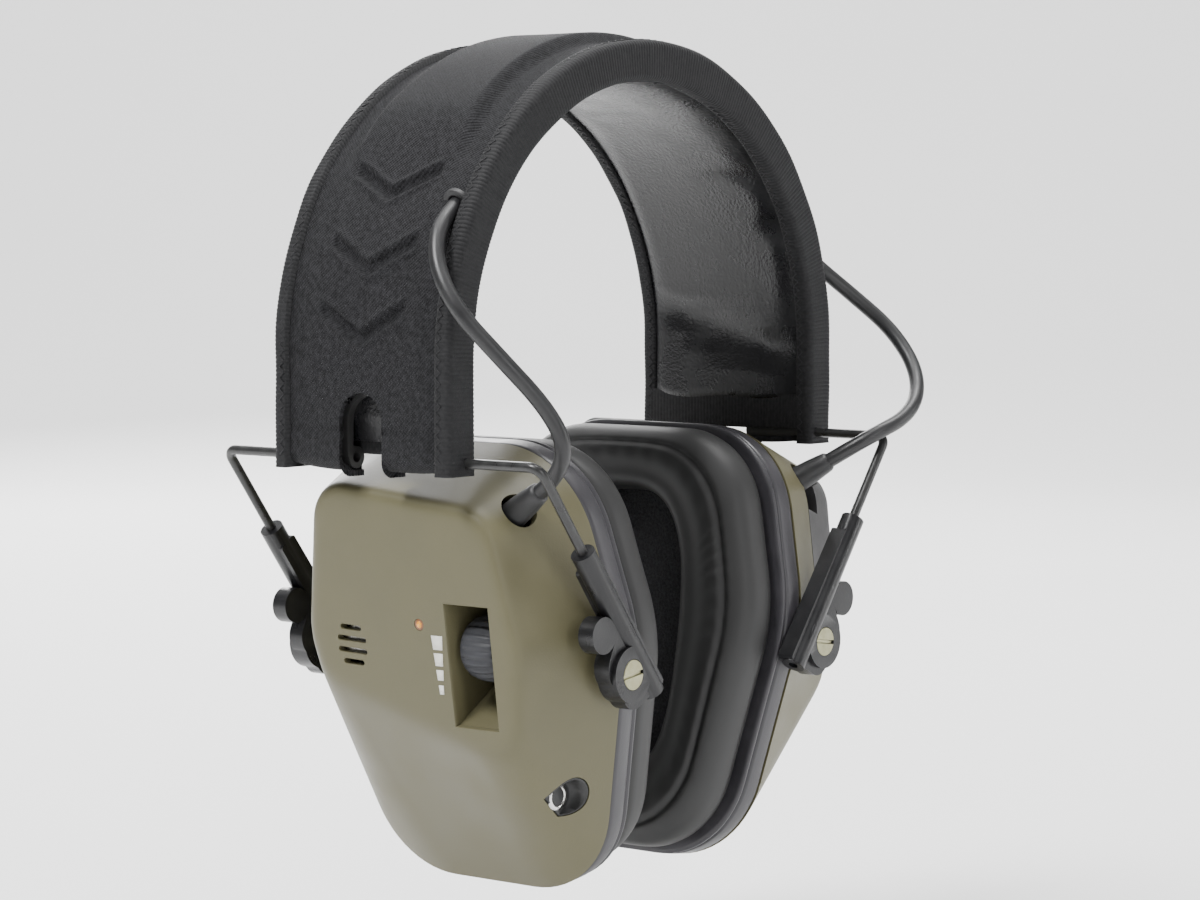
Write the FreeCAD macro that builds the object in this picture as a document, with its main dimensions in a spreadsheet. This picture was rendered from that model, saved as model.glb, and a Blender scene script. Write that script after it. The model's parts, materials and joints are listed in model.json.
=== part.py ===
"""Electronic folding earmuffs: a padded headband, wire yokes and two ear cups.

Frame: millimetres, +Z up, X runs from ear to ear (the left cup is at -X), the front of the
object faces -Y.  The origin is the head seat, the lowest point of the pad under the crown of
the headband, so everything else hangs below or around it.
"""
import FreeCAD
import Part

import math
import os

import Sketcher

Vector = FreeCAD.Vector
Rotation = FreeCAD.Rotation
Placement = FreeCAD.Placement

LEFT, RIGHT = -1, 1
FRONT, REAR = 1, -1
NAMES = {LEFT: "left", RIGHT: "right"}

doc = FreeCAD.newDocument("Earmuffs")

# ---------------------------------------------------------------- driving sizes, millimetres

SIZES = {
    # headband
    "band_radius": 70.0,  # outer radius of the arch
    "arch_height": 67.0,  # centre of the arch above the cup pivots
    "band_end_height": 42.6,  # lower end of the band above the cup pivots
    "band_width": 51.0,  # over both bindings
    "binding_width": 3.5,  # each woven edge binding, along Y
    "binding_proud": 0.5,  # how far a binding stands out of the faces it wraps
    "cover_wall": 2.6,  # outer cover
    "strip_wall": 0.8,  # spring strip
    "strip_width": 24.0,
    "foam_wall": 1.2,  # foam sheet under the strip
    "foam_width": 26.0,
    "pad_wall": 3.4,  # inner pad, the part that meets the head
    "layer_gap": 0.1,  # between the layers of the band
    "notch_width": 12.0,  # cut-out in each end of the band
    "notch_height": 17.0,
    "fitting_wall": 1.8,  # end fitting that carries the wires
    "fitting_width": 42.0,
    "fitting_height": 20.0,
    "sleeve_radius": 2.4,  # tube of the end fitting around the wire
    "hem_wall": 1.0,  # cover folded round the tube
    # wires and arms
    "hinge_half": 64.5,  # fold axis from the middle
    "hinge_height": 46.0,  # fold axis above the cup pivots
    "wire_radius": 1.1,
    "wire_inner": 8.0,  # inner end of each wire from the middle, along Y
    "wire_side": 45.4,  # wire legs from the middle, along Y
    "wire_bend": 3.0,
    "wire_reach": 46.0,  # straight leg from the fold axis down into the arm
    "running_gap": 0.05,  # radial clearance of the sliding and turning fits
    "pivot_half": 36.0,  # cup pivots from the middle
    "arm_offset": 4.8,  # tube of the arm from the pivot
    "arm_top": 30.5,  # along the tube, from the pivot
    "arm_tip": 9.5,
    "arm_tube_radius": 2.7,
    "arm_inner_side": 42.8,  # inner face of the arms from the middle, along Y
    "arm_wall": 4.0,
    "boss_radius": 6.2,
    "boss_wall": 5.0,
    "boss_recess": 1.5,
    # pivot screws
    "pivot_shank_radius": 1.6,
    "pivot_head_radius": 3.3,
    "pivot_head_wall": 1.5,
    "slot_width": 0.8,
    "slot_depth": 0.6,
    "pivot_thread": 6.0,  # length of screw inside the shell
    # cups
    "cup_tilt": 8.0,  # degrees, tops of the cups lean outwards
    "ring_top": 48.5,
    "ring_top_half": 33.0,
    "ring_middle": 5.0,
    "ring_middle_half": 43.5,
    "ring_bottom": 53.0,
    "ring_bottom_half": 31.0,
    "ring_corner": 24.0,
    "ring_side_round": 45.0,
    "ring_outer_face": -3.0,  # meets the shell, outwards of the pivots
    "ring_depth": 7.0,
    "ring_wall": 5.5,
    "shell_face": 23.0,  # outermost plane of the shell
    "shell_wall": 2.0,
    "face_top_rear": 44.0,
    "face_top_front": 39.0,
    "face_rear_half": 24.0,
    "face_front_half": 34.0,
    "face_corner": 9.0,
    "face_side_round": 18.0,
    "crease_rear": 3.0,  # lower edge of the face below the pivots
    "crease_front": 19.0,
    "cushion_depth": 14.0,
    "cushion_inset": 1.5,
    "cushion_round": 5.0,
    "ear_top": 32.0,  # ear opening of the cushion
    "ear_bottom": 35.0,
    "ear_half": 19.0,
    "ear_corner": 15.0,
    "baffle_wall": 2.0,
    "foam_liner_wall": 4.0,
    "speaker_radius": 18.0,
    "speaker_depth": 6.0,
    "speaker_height": -4.0,
    "grille_radius": 14.0,
    "board_width": 30.0,
    "board_height": 24.0,
    "board_wall": 1.6,
    "board_position": 3.5,
    "microphone_radius": 4.0,
    "microphone_depth": 4.0,
    "housing_screw_radius": 1.3,
    "housing_screw_head": 2.4,
    "housing_screw_length": 7.0,
    # sound slots in the shell
    "slot_count": 4.0,
    "slot_pitch": 2.6,
    "slot_height": 1.2,
    "slot_length": 8.5,
    "slot_middle": 7.5,
    "slot_front": -12.0,
    # volume wheel, its window, the lamp and the jack of the left cup
    "window_width": 12.0,
    "window_height": 27.0,
    "window_front": 22.0,
    "window_middle": 5.0,
    "window_wall": 1.2,
    "window_back": 5.8,  # back of the wheel's well, outwards of the pivots
    "wheel_radius": 7.3,
    "wheel_width": 9.0,
    "wheel_position": 14.8,
    "wheel_middle": 7.4,
    "wheel_shaft_radius": 1.5,
    "lamp_radius": 1.3,
    "lamp_front": 8.3,
    "lamp_middle": 13.5,
    "lamp_depth": 3.0,
    "jack_bore_radius": 1.8,
    "jack_outer_radius": 3.2,
    "jack_depth": 13.0,
    "jack_recess_radius": 4.6,
    "jack_recess": 3.0,
    "jack_position": 7.4,
    "jack_middle": -27.0,
    "jack_mouth": 30.0,
    # battery bay of the right cup
    "bay_floor": 7.5,
    "bay_bottom": -6.0,
    "bay_top": 38.5,
    "bay_slant": 3.3,  # drop of the bay's top edge towards its floor
    "door_gap": 0.3,
    "notch_sweep": 4.5,  # room below the boot for the door's swing
    "cell_radius": 5.2,
    "cell_length": 44.5,
    "cell_low": 4.5,
    "cell_front": 5.0,
    "contact_wall": 0.5,
    # leads
    "lead_radius": 1.75,
    "lead_side": 18.6,  # lead inside the band from the middle, towards the front
    "left_exit": 34.0,  # degrees above the arch centre where the lead leaves the pad
    "right_exit": 24.0,
    "grommet_radius": 3.2,
    "grommet_wall": 1.4,
    "boot_base_radius": 3.6,
    "boot_tip_radius": 2.3,
    "boot_length": 17.0,
    "boot_hole_gap": 0.4,
    "boot_run": 8.0,  # straight stretch of the lead beyond its boot
}

sheet = doc.addObject("Spreadsheet::Sheet", "Sizes")
for row, (alias, amount) in enumerate(SIZES.items(), start=1):
    sheet.set(f"A{row}", alias)
    sheet.set(f"B{row}", str(amount))
    sheet.setAlias(f"B{row}", alias)
doc.recompute()


def size(alias):
    """A driving size, read from the sheet."""
    return float(getattr(sheet, alias))


# ---------------------------------------------------------------- places worked out from them

def band_inside():
    """Inner radius of the arch, where the head sits."""
    layers = ("cover_wall", "strip_wall", "foam_wall", "pad_wall")
    return size("band_radius") - sum(size(layer) for layer in layers) - 3 * size("layer_gap")


SEAT = size("arch_height") + band_inside()  # head seat above the cup pivots
ARCH_Z = size("arch_height") - SEAT
HINGE_Z = size("hinge_height") - SEAT
ARM_SPAN = math.hypot(size("hinge_half") - size("pivot_half"), size("hinge_height"))
WIRE_SLOPE = math.degrees(
    math.atan2(size("hinge_half") - size("pivot_half"), size("hinge_height"))
    + math.asin(size("arm_offset") / ARM_SPAN)
)
ARM_RISE = math.sqrt(ARM_SPAN**2 - size("arm_offset") ** 2)  # fold axis along the arm


def cup_place(side, lean):
    """Frame with X outwards, on the pivots of one cup, leaning outwards by some degrees."""
    turn = Rotation(Vector(0, 1, 0), side * lean)
    if side == LEFT:
        turn = turn.multiply(Rotation(Vector(0, 0, 1), 180))
    return Placement(Vector(side * size("pivot_half"), 0, -SEAT), turn)


def local_front(side):
    """Sign of Y that points to the front of the object in a cup's own frame."""
    return -side


# ---------------------------------------------------------------- helpers for bodies

parts = {}


def place_part(thing, name, place=None):
    """Name a finished sub-part and put it in its place."""
    thing.Label = name
    if place is not None:
        thing.Placement = place
    parts[name] = thing
    return thing


def new_body(name):
    body = doc.addObject("PartDesign::Body", name)
    return body


def new_sketch(body, role, offset=None):
    """A sketch on one origin plane of its body, moved along the plane's normal."""
    sketch = body.newObject("Sketcher::SketchObject", body.Name + "_sketch")
    flat = [item for item in body.Origin.OriginFeatures if item.Role == role][0]
    sketch.AttachmentSupport = [(flat, "")]
    sketch.MapMode = "FlatFace"
    if offset is not None:
        sketch.setExpression("AttachmentOffset.Base.z", offset)
    return sketch


def bind(sketch, kind, *what, expression):
    """Add one dimension and tie it to the sheet."""
    amount = float(sketch.evalExpression(expression))
    index = sketch.addConstraint(Sketcher.Constraint(kind, *what, amount))
    sketch.setExpression(f"Constraints[{index}]", expression)


def pin_point(sketch, geometry, end, across, up):
    """Hold a point at a bound distance from the sketch's origin."""
    bind(sketch, "DistanceX", -1, 1, geometry, end, expression=across)
    bind(sketch, "DistanceY", -1, 1, geometry, end, expression=up)


def draw_polygon(sketch, corners):
    """Closed straight outline through bound corners (across, up)."""
    spots = [Vector(*(float(sketch.evalExpression(e)) for e in corner)) for corner in corners]
    count = len(spots)
    lines = [
        sketch.addGeometry(Part.LineSegment(spots[i], spots[(i + 1) % count]), False)
        for i in range(count)
    ]
    for i, line in enumerate(lines):
        sketch.addConstraint(Sketcher.Constraint("Coincident", line, 2, lines[(i + 1) % count], 1))
        pin_point(sketch, line, 1, *corners[i])


def draw_rounded(sketch, corners):
    """Closed outline of straight sides joined by tangent arcs.

    Each corner is (across, up, radius), where the sides would meet if it were sharp.
    """
    def amount(expression):
        return float(sketch.evalExpression(expression))

    spots = [Vector(amount(x), amount(y)) for x, y, _ in corners]
    turn = sum(a.x * b.y - b.x * a.y for a, b in zip(spots, spots[1:] + spots[:1]))
    if turn < 0:
        spots.reverse()
        corners = corners[::-1]
    count = len(spots)
    rounds = []
    for i, spot in enumerate(spots):
        radius = amount(corners[i][2])
        back = (spots[i - 1] - spot).normalize()
        ahead = (spots[(i + 1) % count] - spot).normalize()
        half = back.getAngle(ahead) / 2
        cut = radius / math.tan(half)
        centre = spot + (back + ahead).normalize() * (radius / math.sin(half))
        first, last = spot + back * cut, spot + ahead * cut
        middle = centre + (spot - centre).normalize() * radius
        rounds.append((first, middle, last))
    lines = [
        sketch.addGeometry(Part.LineSegment(rounds[i][2], rounds[(i + 1) % count][0]), False)
        for i in range(count)
    ]
    for i, (across, up, radius) in enumerate(corners):
        arc = sketch.addGeometry(Part.Arc(*rounds[i]), False)
        sketch.addConstraint(Sketcher.Constraint("Tangent", lines[i - 1], 2, arc, 1))
        sketch.addConstraint(Sketcher.Constraint("Tangent", arc, 2, lines[i], 1))
        bind(sketch, "Radius", arc, expression=radius)
        corner = sketch.addGeometry(Part.Point(spots[i]), True)
        sketch.addConstraint(Sketcher.Constraint("PointOnObject", corner, 1, lines[i - 1]))
        sketch.addConstraint(Sketcher.Constraint("PointOnObject", corner, 1, lines[i]))
        pin_point(sketch, corner, 1, across, up)


def draw_circle(sketch, across, up, radius):
    spot = Vector(*(float(sketch.evalExpression(e)) for e in (across, up)))
    reach = float(sketch.evalExpression(radius))
    circle = sketch.addGeometry(Part.Circle(spot, Vector(0, 0, 1), reach), False)
    bind(sketch, "Radius", circle, expression=radius)
    pin_point(sketch, circle, 3, across, up)


def draw_arch(sketch, outer, inner, leg):
    """Half ring over two straight legs that go down by `leg`, around the arch's centre."""
    radii = [float(sketch.evalExpression(e)) for e in (outer, inner)]
    drop = float(sketch.evalExpression(leg))
    middle = Vector(0, ARCH_Z)
    arcs, legs = [], {}
    for index, (radius, expression) in enumerate(zip(radii, (outer, inner))):
        circle = Part.Circle(middle, Vector(0, 0, 1), radius)
        arc = sketch.addGeometry(Part.ArcOfCircle(circle, 0, math.pi), False)
        pin_point(sketch, arc, 3, "0", f"{ARCH_Z}")
        bind(sketch, "Radius", arc, expression=expression)
        for side, end in ((RIGHT, 1), (LEFT, 2)):
            top = middle + Vector(side * radius, 0)
            line = sketch.addGeometry(Part.LineSegment(top, top - Vector(0, drop)), False)
            sketch.addConstraint(Sketcher.Constraint("Tangent", arc, end, line, 1))
            legs[side, index] = line
        arcs.append(arc)
    for side in (RIGHT, LEFT):
        foot = [middle + Vector(side * radius, -drop) for radius in radii]
        base = sketch.addGeometry(Part.LineSegment(*foot), False)
        for index in (0, 1):
            sketch.addConstraint(
                Sketcher.Constraint("Coincident", legs[side, index], 2, base, index + 1)
            )
        sketch.addConstraint(Sketcher.Constraint("Horizontal", base))
        bind(sketch, "DistanceY", base, 1, arcs[0], 3, expression=leg)


def extrude(sketch, body, kind, length, midplane=False, backwards=False):
    """A pad or a pocket of a bound length."""
    feature = body.newObject(f"PartDesign::{kind}", f"{body.Name}_{kind.lower()}")
    feature.Profile = sketch
    feature.Midplane = midplane
    feature.Reversed = backwards
    feature.setExpression("Length", length)
    doc.recompute()
    return feature


def loft(body, kind, sections):
    feature = body.newObject(f"PartDesign::{kind}", f"{body.Name}_loft")
    feature.Profile = sections[0]
    feature.Sections = sections[1:]
    feature.Ruled = True
    doc.recompute()
    return feature


def must_cut(body, before):
    """A cut has to take something away."""
    if body.Shape.Volume >= before - 1e-6:
        raise RuntimeError(f"{body.Name}: the last cut removed nothing")


def cut(sketch, body, length, midplane=False, backwards=False):
    before = body.Shape.Volume
    extrude(sketch, body, "Pocket", length, midplane, backwards)
    must_cut(body, before)


def pad_circle(body, role, offset, across, up, radius, length, **how):
    sketch = new_sketch(body, role, offset)
    draw_circle(sketch, across, up, radius)
    return extrude(sketch, body, "Pad", length, **how)


def cut_circle(body, role, offset, across, up, radius, length, **how):
    sketch = new_sketch(body, role, offset)
    draw_circle(sketch, across, up, radius)
    cut(sketch, body, length, **how)


def rectangle(across, up, width, height):
    """Corner expressions of a rectangle around a middle point."""
    signs = ((-1, -1), (1, -1), (1, 1), (-1, 1))
    return [
        (f"{across} + ({i}) * ({width}) / 2", f"{up} + ({j}) * ({height}) / 2") for i, j in signs
    ]


def cylinder(name, radius, height, start, axis):
    """A primitive cylinder whose foot is at `start` and whose height runs along `axis`."""
    thing = doc.addObject("Part::Cylinder", name)
    thing.setExpression("Radius", radius)
    thing.setExpression("Height", height)
    thing.Placement = Placement(start, Rotation(Vector(0, 0, 1), axis))
    return thing


def boolean(kind, name, base, tool):
    thing = doc.addObject(f"Part::{kind}", name)
    thing.Base = base
    thing.Tool = tool
    return thing


def group(name, members):
    """Separate equal solids kept as one sub-part."""
    thing = doc.addObject("Part::Compound", name)
    thing.Links = members
    return thing


# ---------------------------------------------------------------- headband

S = "Sizes."
LEG = f"{S}arch_height - {S}band_end_height"
COVER_INSIDE = f"({S}band_radius - {S}cover_wall)"
STRIP_OUTSIDE = f"({COVER_INSIDE} - {S}layer_gap)"
STRIP_INSIDE = f"({STRIP_OUTSIDE} - {S}strip_wall)"
FOAM_OUTSIDE = f"({STRIP_INSIDE} - {S}layer_gap)"
FOAM_INSIDE = f"({FOAM_OUTSIDE} - {S}foam_wall)"
PAD_OUTSIDE = f"({FOAM_INSIDE} - {S}layer_gap)"
PAD_INSIDE = f"({PAD_OUTSIDE} - {S}pad_wall)"
PANEL_WIDTH = f"{S}band_width - 2 * {S}binding_width"
FITTING_TOP = f"{S}hinge_height + {S}fitting_height - {SEAT}"


def arch_body(name, outer, inner, leg, width):
    body = new_body(name)
    sketch = new_sketch(body, "XZ_Plane")
    draw_arch(sketch, outer, inner, leg)
    extrude(sketch, body, "Pad", width, midplane=True)
    return body


def cut_notches(body):
    """Round-topped cut-outs in the middle of both ends of the band."""
    sketch = new_sketch(body, "YZ_Plane")
    end = f"{S}band_end_height - {SEAT}"
    half = f"{S}notch_width / 2"
    draw_rounded(sketch, [
        (f"-{half}", f"{end} - 10", "2"),
        (half, f"{end} - 10", "2"),
        (half, f"{end} + {S}notch_height", f"{half} - 0.1"),
        (f"-{half}", f"{end} + {S}notch_height", f"{half} - 0.1"),
    ])
    cut(sketch, body, f"4 * {S}band_radius", midplane=True)


def make_cover():
    """Outer cover, folded round the tubes of the end fittings."""
    body = arch_body("band_cover", f"{S}band_radius", COVER_INSIDE, LEG, PANEL_WIDTH)
    hem = f"{S}sleeve_radius + 0.1 + {S}hem_wall"
    for side in (LEFT, RIGHT):
        middle = (f"{side} * {S}hinge_half", f"{S}hinge_height - {SEAT}")
        pad_circle(body, "XZ_Plane", None, *middle, hem, PANEL_WIDTH, midplane=True)
    for side in (LEFT, RIGHT):
        middle = (f"{side} * {S}hinge_half", f"{S}hinge_height - {SEAT}")
        cut_circle(body, "XZ_Plane", None, *middle, f"{S}sleeve_radius + 0.1",
                   f"{PANEL_WIDTH} + 2", midplane=True)
        slit = new_sketch(body, "XZ_Plane")
        wall = f"{STRIP_OUTSIDE} - {S}fitting_wall / 2 + 0.1"
        height = f"{S}hinge_height - {SEAT} + {S}sleeve_radius"
        draw_polygon(slit, rectangle(f"{side} * ({wall})", height, f"{S}fitting_wall + 0.2",
                                     f"2 * {S}sleeve_radius"))
        cut(slit, body, f"{S}fitting_width + 0.4", midplane=True)
    cut_notches(body)
    return place_part(body, "band_cover")


def make_pad():
    """Inner pad with a channel for the lead, ending above the hems."""
    leg = f"{S}arch_height - {S}hinge_height - {S}sleeve_radius - {S}hem_wall - 0.4"
    body = arch_body("band_pad", PAD_OUTSIDE, PAD_INSIDE, leg, PANEL_WIDTH)
    return body


def make_bindings():
    """Woven bindings that wrap the two long edges, with holes for the wires."""
    for facing, name in ((FRONT, "front_binding"), (REAR, "rear_binding")):
        body = new_body(name)
        middle = f"{facing} * ({S}band_width - {S}binding_width) / 2"
        sketch = new_sketch(body, "XZ_Plane", middle)
        draw_arch(sketch, f"{S}band_radius + {S}binding_proud",
                  f"{PAD_INSIDE} - {S}binding_proud", LEG)
        extrude(sketch, body, "Pad", f"{S}binding_width - 0.1", midplane=True)
        for side in (LEFT, RIGHT):
            cut_circle(body, "XZ_Plane", middle, f"{side} * {S}hinge_half",
                       f"{S}hinge_height - {SEAT}", f"{S}wire_radius + 0.5",
                       f"2 * {S}binding_width", midplane=True)
        place_part(body, name)


def make_strip():
    """Flat spring strip that gives the band its grip."""
    body = arch_body("spring_strip", STRIP_OUTSIDE, STRIP_INSIDE, "0.5", f"{S}strip_width")
    place_part(body, "spring_strip")


def make_foam():
    body = arch_body("foam_sheet", FOAM_OUTSIDE, FOAM_INSIDE, "0.5", f"{S}foam_width")
    place_part(body, "foam_sheet")


def make_end_fitting(side):
    """Moulded plate riveted under the strip, with a tube in which both wires turn."""
    name = f"{NAMES[side]}_end_fitting"
    body = new_body(name)
    width = f"{S}fitting_width"
    middle = (f"{side} * {S}hinge_half", f"{S}hinge_height - {SEAT}")
    pad_circle(body, "XZ_Plane", None, *middle, f"{S}sleeve_radius", width, midplane=True)
    plate = new_sketch(body, "XZ_Plane")
    wall = f"{side} * ({STRIP_OUTSIDE} - {S}fitting_wall / 2)"
    height = f"{S}fitting_height - 2 * {S}layer_gap"
    draw_polygon(plate, rectangle(wall, f"{S}hinge_height - {SEAT} + {S}fitting_height / 2",
                                  f"{S}fitting_wall", height))
    extrude(plate, body, "Pad", width, midplane=True)
    cut_circle(body, "XZ_Plane", None, *middle, f"{S}wire_radius + {S}running_gap",
               f"{width} + 2", midplane=True)
    cut_notches(body)
    place_part(body, name)


# ---------------------------------------------------------------- wires and arms

def make_wire(side, facing):
    """Bent steel wire: a bar in the end fitting and a leg that slides in the arm."""
    place = "front" if facing == FRONT else "rear"
    name = f"{NAMES[side]}_{place}_wire"
    body = new_body(name)
    sign = facing * local_front(side)
    spine = new_sketch(body, "YZ_Plane", f"-{S}arm_offset")
    reach, inner = size("wire_side"), size("wire_inner")
    bend, foot = size("wire_bend"), ARM_RISE - size("wire_reach")
    spots = [
        Vector(sign * inner, ARM_RISE), Vector(sign * (reach - bend), ARM_RISE),
        Vector(sign * reach, ARM_RISE - bend), Vector(sign * reach, foot),
    ]
    middle = spots[1] - Vector(0, bend)
    crest = middle + (Vector(sign, 1)).normalize() * bend
    bar = spine.addGeometry(Part.LineSegment(spots[0], spots[1]), False)
    ends = (spots[2], spots[1]) if sign > 0 else (spots[1], spots[2])
    arc = spine.addGeometry(Part.Arc(ends[0], crest, ends[1]), False)
    leg = spine.addGeometry(Part.LineSegment(spots[2], spots[3]), False)
    first, last = (2, 1) if sign > 0 else (1, 2)
    spine.addConstraint(Sketcher.Constraint("Tangent", bar, 2, arc, first))
    spine.addConstraint(Sketcher.Constraint("Tangent", arc, last, leg, 1))
    bind(spine, "Radius", arc, expression=f"{S}wire_bend")
    pin_point(spine, bar, 1, f"{sign} * {S}wire_inner", f"{ARM_RISE}")
    pin_point(spine, leg, 2, f"{sign} * {S}wire_side", f"{ARM_RISE} - {S}wire_reach")
    spine.addConstraint(Sketcher.Constraint("Horizontal", bar))
    section = new_sketch(body, "XZ_Plane", f"-{sign} * {S}wire_inner")
    draw_circle(section, f"-{S}arm_offset", f"{ARM_RISE}", f"{S}wire_radius")
    doc.recompute()
    pipe = body.newObject("PartDesign::AdditivePipe", name + "_pipe")
    pipe.Profile = section
    pipe.Spine = spine
    doc.recompute()
    place_part(body, name, cup_place(side, WIRE_SLOPE))


def make_arm(side, facing):
    """Moulded arm: a tube for the wire, and a plate with the boss of the pivot screw."""
    place = "front" if facing == FRONT else "rear"
    name = f"{NAMES[side]}_{place}_arm"
    body = new_body(name)
    sign = facing * local_front(side)
    back = sign > 0  # the plane's normal is -Y, so a pad towards +Y is reversed
    face = f"-{sign} * {S}arm_inner_side"
    plate = new_sketch(body, "XZ_Plane", face)
    inner = f"-{S}arm_offset - {S}arm_tube_radius"
    draw_rounded(plate, [
        (f"{inner} - 0.6", f"-{S}arm_tip", "0.8"),
        (f"{S}boss_radius * 0.75", f"-{S}boss_radius - 1.2", "4"),
        (f"{S}boss_radius", f"{S}boss_radius * 0.9", "5"),
        (f"-{S}arm_offset + {S}arm_tube_radius - 0.4", f"{S}boss_radius + 4", "4"),
        (f"-{S}arm_offset + {S}arm_tube_radius - 0.4", f"{S}arm_top - 4", "0.8"),
        (inner, f"{S}arm_top - 4", "0.8"),
    ])
    extrude(plate, body, "Pad", f"{S}arm_wall", backwards=back)
    pad_circle(body, "XZ_Plane", face, "0", "0", f"{S}boss_radius", f"{S}boss_wall",
               backwards=back)
    tube = (f"-{S}arm_offset", f"{sign} * {S}wire_side")
    pad_circle(body, "XY_Plane", f"-{S}arm_tip", *tube, f"{S}arm_tube_radius",
               f"{S}arm_top + {S}arm_tip")
    cut_circle(body, "XY_Plane", f"-{S}arm_tip - 1", *tube,
               f"{S}wire_radius + {S}running_gap", f"{S}arm_top + {S}arm_tip + 2",
               backwards=True)
    cut_circle(body, "XZ_Plane", face, "0", "0", f"{S}pivot_shank_radius + {S}running_gap",
               f"{S}boss_wall + 1", backwards=not back)
    cut_circle(body, "XZ_Plane", f"-{sign} * ({S}arm_inner_side + {S}boss_wall)", "0", "0",
               f"{S}pivot_head_radius + 0.1", f"{S}boss_recess", backwards=back)
    place_part(body, name, cup_place(side, WIRE_SLOPE))


# ---------------------------------------------------------------- ear cups

def ring_corners(inset="0"):
    """Outline of the cup where ring and shell meet, moved in by `inset`."""
    inset = f"({inset})"
    top = (f"{S}ring_top_half - {inset}", f"{S}ring_top - {inset}")
    middle = (f"{S}ring_middle_half - {inset}", f"{S}ring_middle")
    low = (f"{S}ring_bottom_half - {inset}", f"-({S}ring_bottom - {inset})")
    corner, flank = f"{S}ring_corner - {inset}", f"{S}ring_side_round - {inset}"
    right = [(*top, corner), (*middle, flank), (*low, corner)]
    left = [(f"-({x})", y, r) for x, y, r in reversed(right)]
    return right + left


def face_corners(front, inset="0"):
    """Outline of the shell's outer face, in the same order as the ring's."""
    inset = f"({inset})"
    ahead = f"({S}face_front_half - {inset})"
    behind = f"({S}face_rear_half - {inset})"
    corner, flank = f"{S}face_corner - {inset} / 2", f"{S}face_side_round"
    ends = {
        front: (ahead, f"{S}face_top_front", f"-{S}crease_front", "2"),
        -front: (behind, f"{S}face_top_rear", f"-{S}crease_rear", "-2"),
    }
    corners = []
    for sign in (1, -1):
        half, top, low, swell = ends[sign]
        run = [
            (f"{sign} * ({half} - 5)", f"{top} - {inset}", corner),
            (f"{sign} * ({half} + 1)", f"{S}face_corner", flank),
            (f"{sign} * ({half} - 2)", f"{low} + {inset}", corner),
        ]
        corners += run if sign > 0 else run[::-1]
    return corners


def draw_section(body, offset, corners):
    sketch = new_sketch(body, "YZ_Plane", offset)
    draw_rounded(sketch, corners)
    return sketch


def hollow_shell(name, side):
    """Outer skin of a cup: faceted outside, an even wall, open towards the ring."""
    body = new_body(name)
    front = local_front(side)
    base, face = f"{S}ring_outer_face", f"{S}shell_face"
    outside = [draw_section(body, base, ring_corners()),
               draw_section(body, face, face_corners(front))]
    loft(body, "AdditiveLoft", outside)
    wall = f"{S}shell_wall"
    inside = [draw_section(body, f"{base} - 0.01", ring_corners(wall)),
              draw_section(body, f"{face} - {wall}", face_corners(front, wall))]
    before = body.Shape.Volume
    loft(body, "SubtractiveLoft", inside)
    must_cut(body, before)
    return body


def add_pivot_bosses(body):
    """Blind bosses inside the shell that the pivot screws are driven into."""
    depth = f"{S}pivot_thread + 1.5"
    for sign in (1, -1):
        start = f"-{sign} * ({S}arm_inner_side - 2.2)"
        pad_circle(body, "XZ_Plane", start, "0.6", "0", f"{S}pivot_shank_radius + 1.6", depth,
                   backwards=sign < 0)
        cut_circle(body, "XZ_Plane", f"-{sign} * {S}arm_inner_side", "0", "0",
                   f"{S}pivot_shank_radius", f"{S}pivot_thread", backwards=sign > 0)


def cut_slots(body, front):
    """Four sound slots, the middle two longer, over the microphone."""
    count = int(size("slot_count"))
    for index in range(count):
        rank = index - (count - 1) / 2
        share = 1.0 if abs(rank) < 1 else 0.72
        sketch = new_sketch(body, "YZ_Plane", f"{S}shell_face + 1")
        draw_polygon(sketch, rectangle(f"{front} * {S}slot_front",
                                       f"{S}slot_middle + ({rank}) * {S}slot_pitch",
                                       f"{S}slot_length * {share}", f"{S}slot_height"))
        cut(sketch, body, f"{S}shell_wall + 3")


# Foot and direction of each boot in its cup: outwards, to the front, up.
BOOTS = {
    LEFT: ((11.0, 23.0, 33.0), (1.5, 13.0, 8.5)),
    RIGHT: ((7.5, 23.2, 32.9), (4.2, 13.4, 9.5)),
}


def cup_point(side, out, ahead, up):
    """Point given in a cup's frame, `ahead` towards the front of the object."""
    return Vector(out, local_front(side) * ahead, up)


def boot_axis(side):
    foot, aim = (cup_point(side, *spot) for spot in BOOTS[side])
    return foot, aim.normalize()


def cut_boot_hole(thing, side):
    """Take the lead boot's oval hole out of a shell."""
    foot, aim = boot_axis(side)
    radius = f"{S}boot_base_radius + {S}boot_hole_gap"
    drill = cylinder(f"{NAMES[side]}_boot_drill", radius, f"{S}boot_length", foot, aim)
    return boolean("Cut", f"{NAMES[side]}_shell_drilled", thing, drill)


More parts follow.
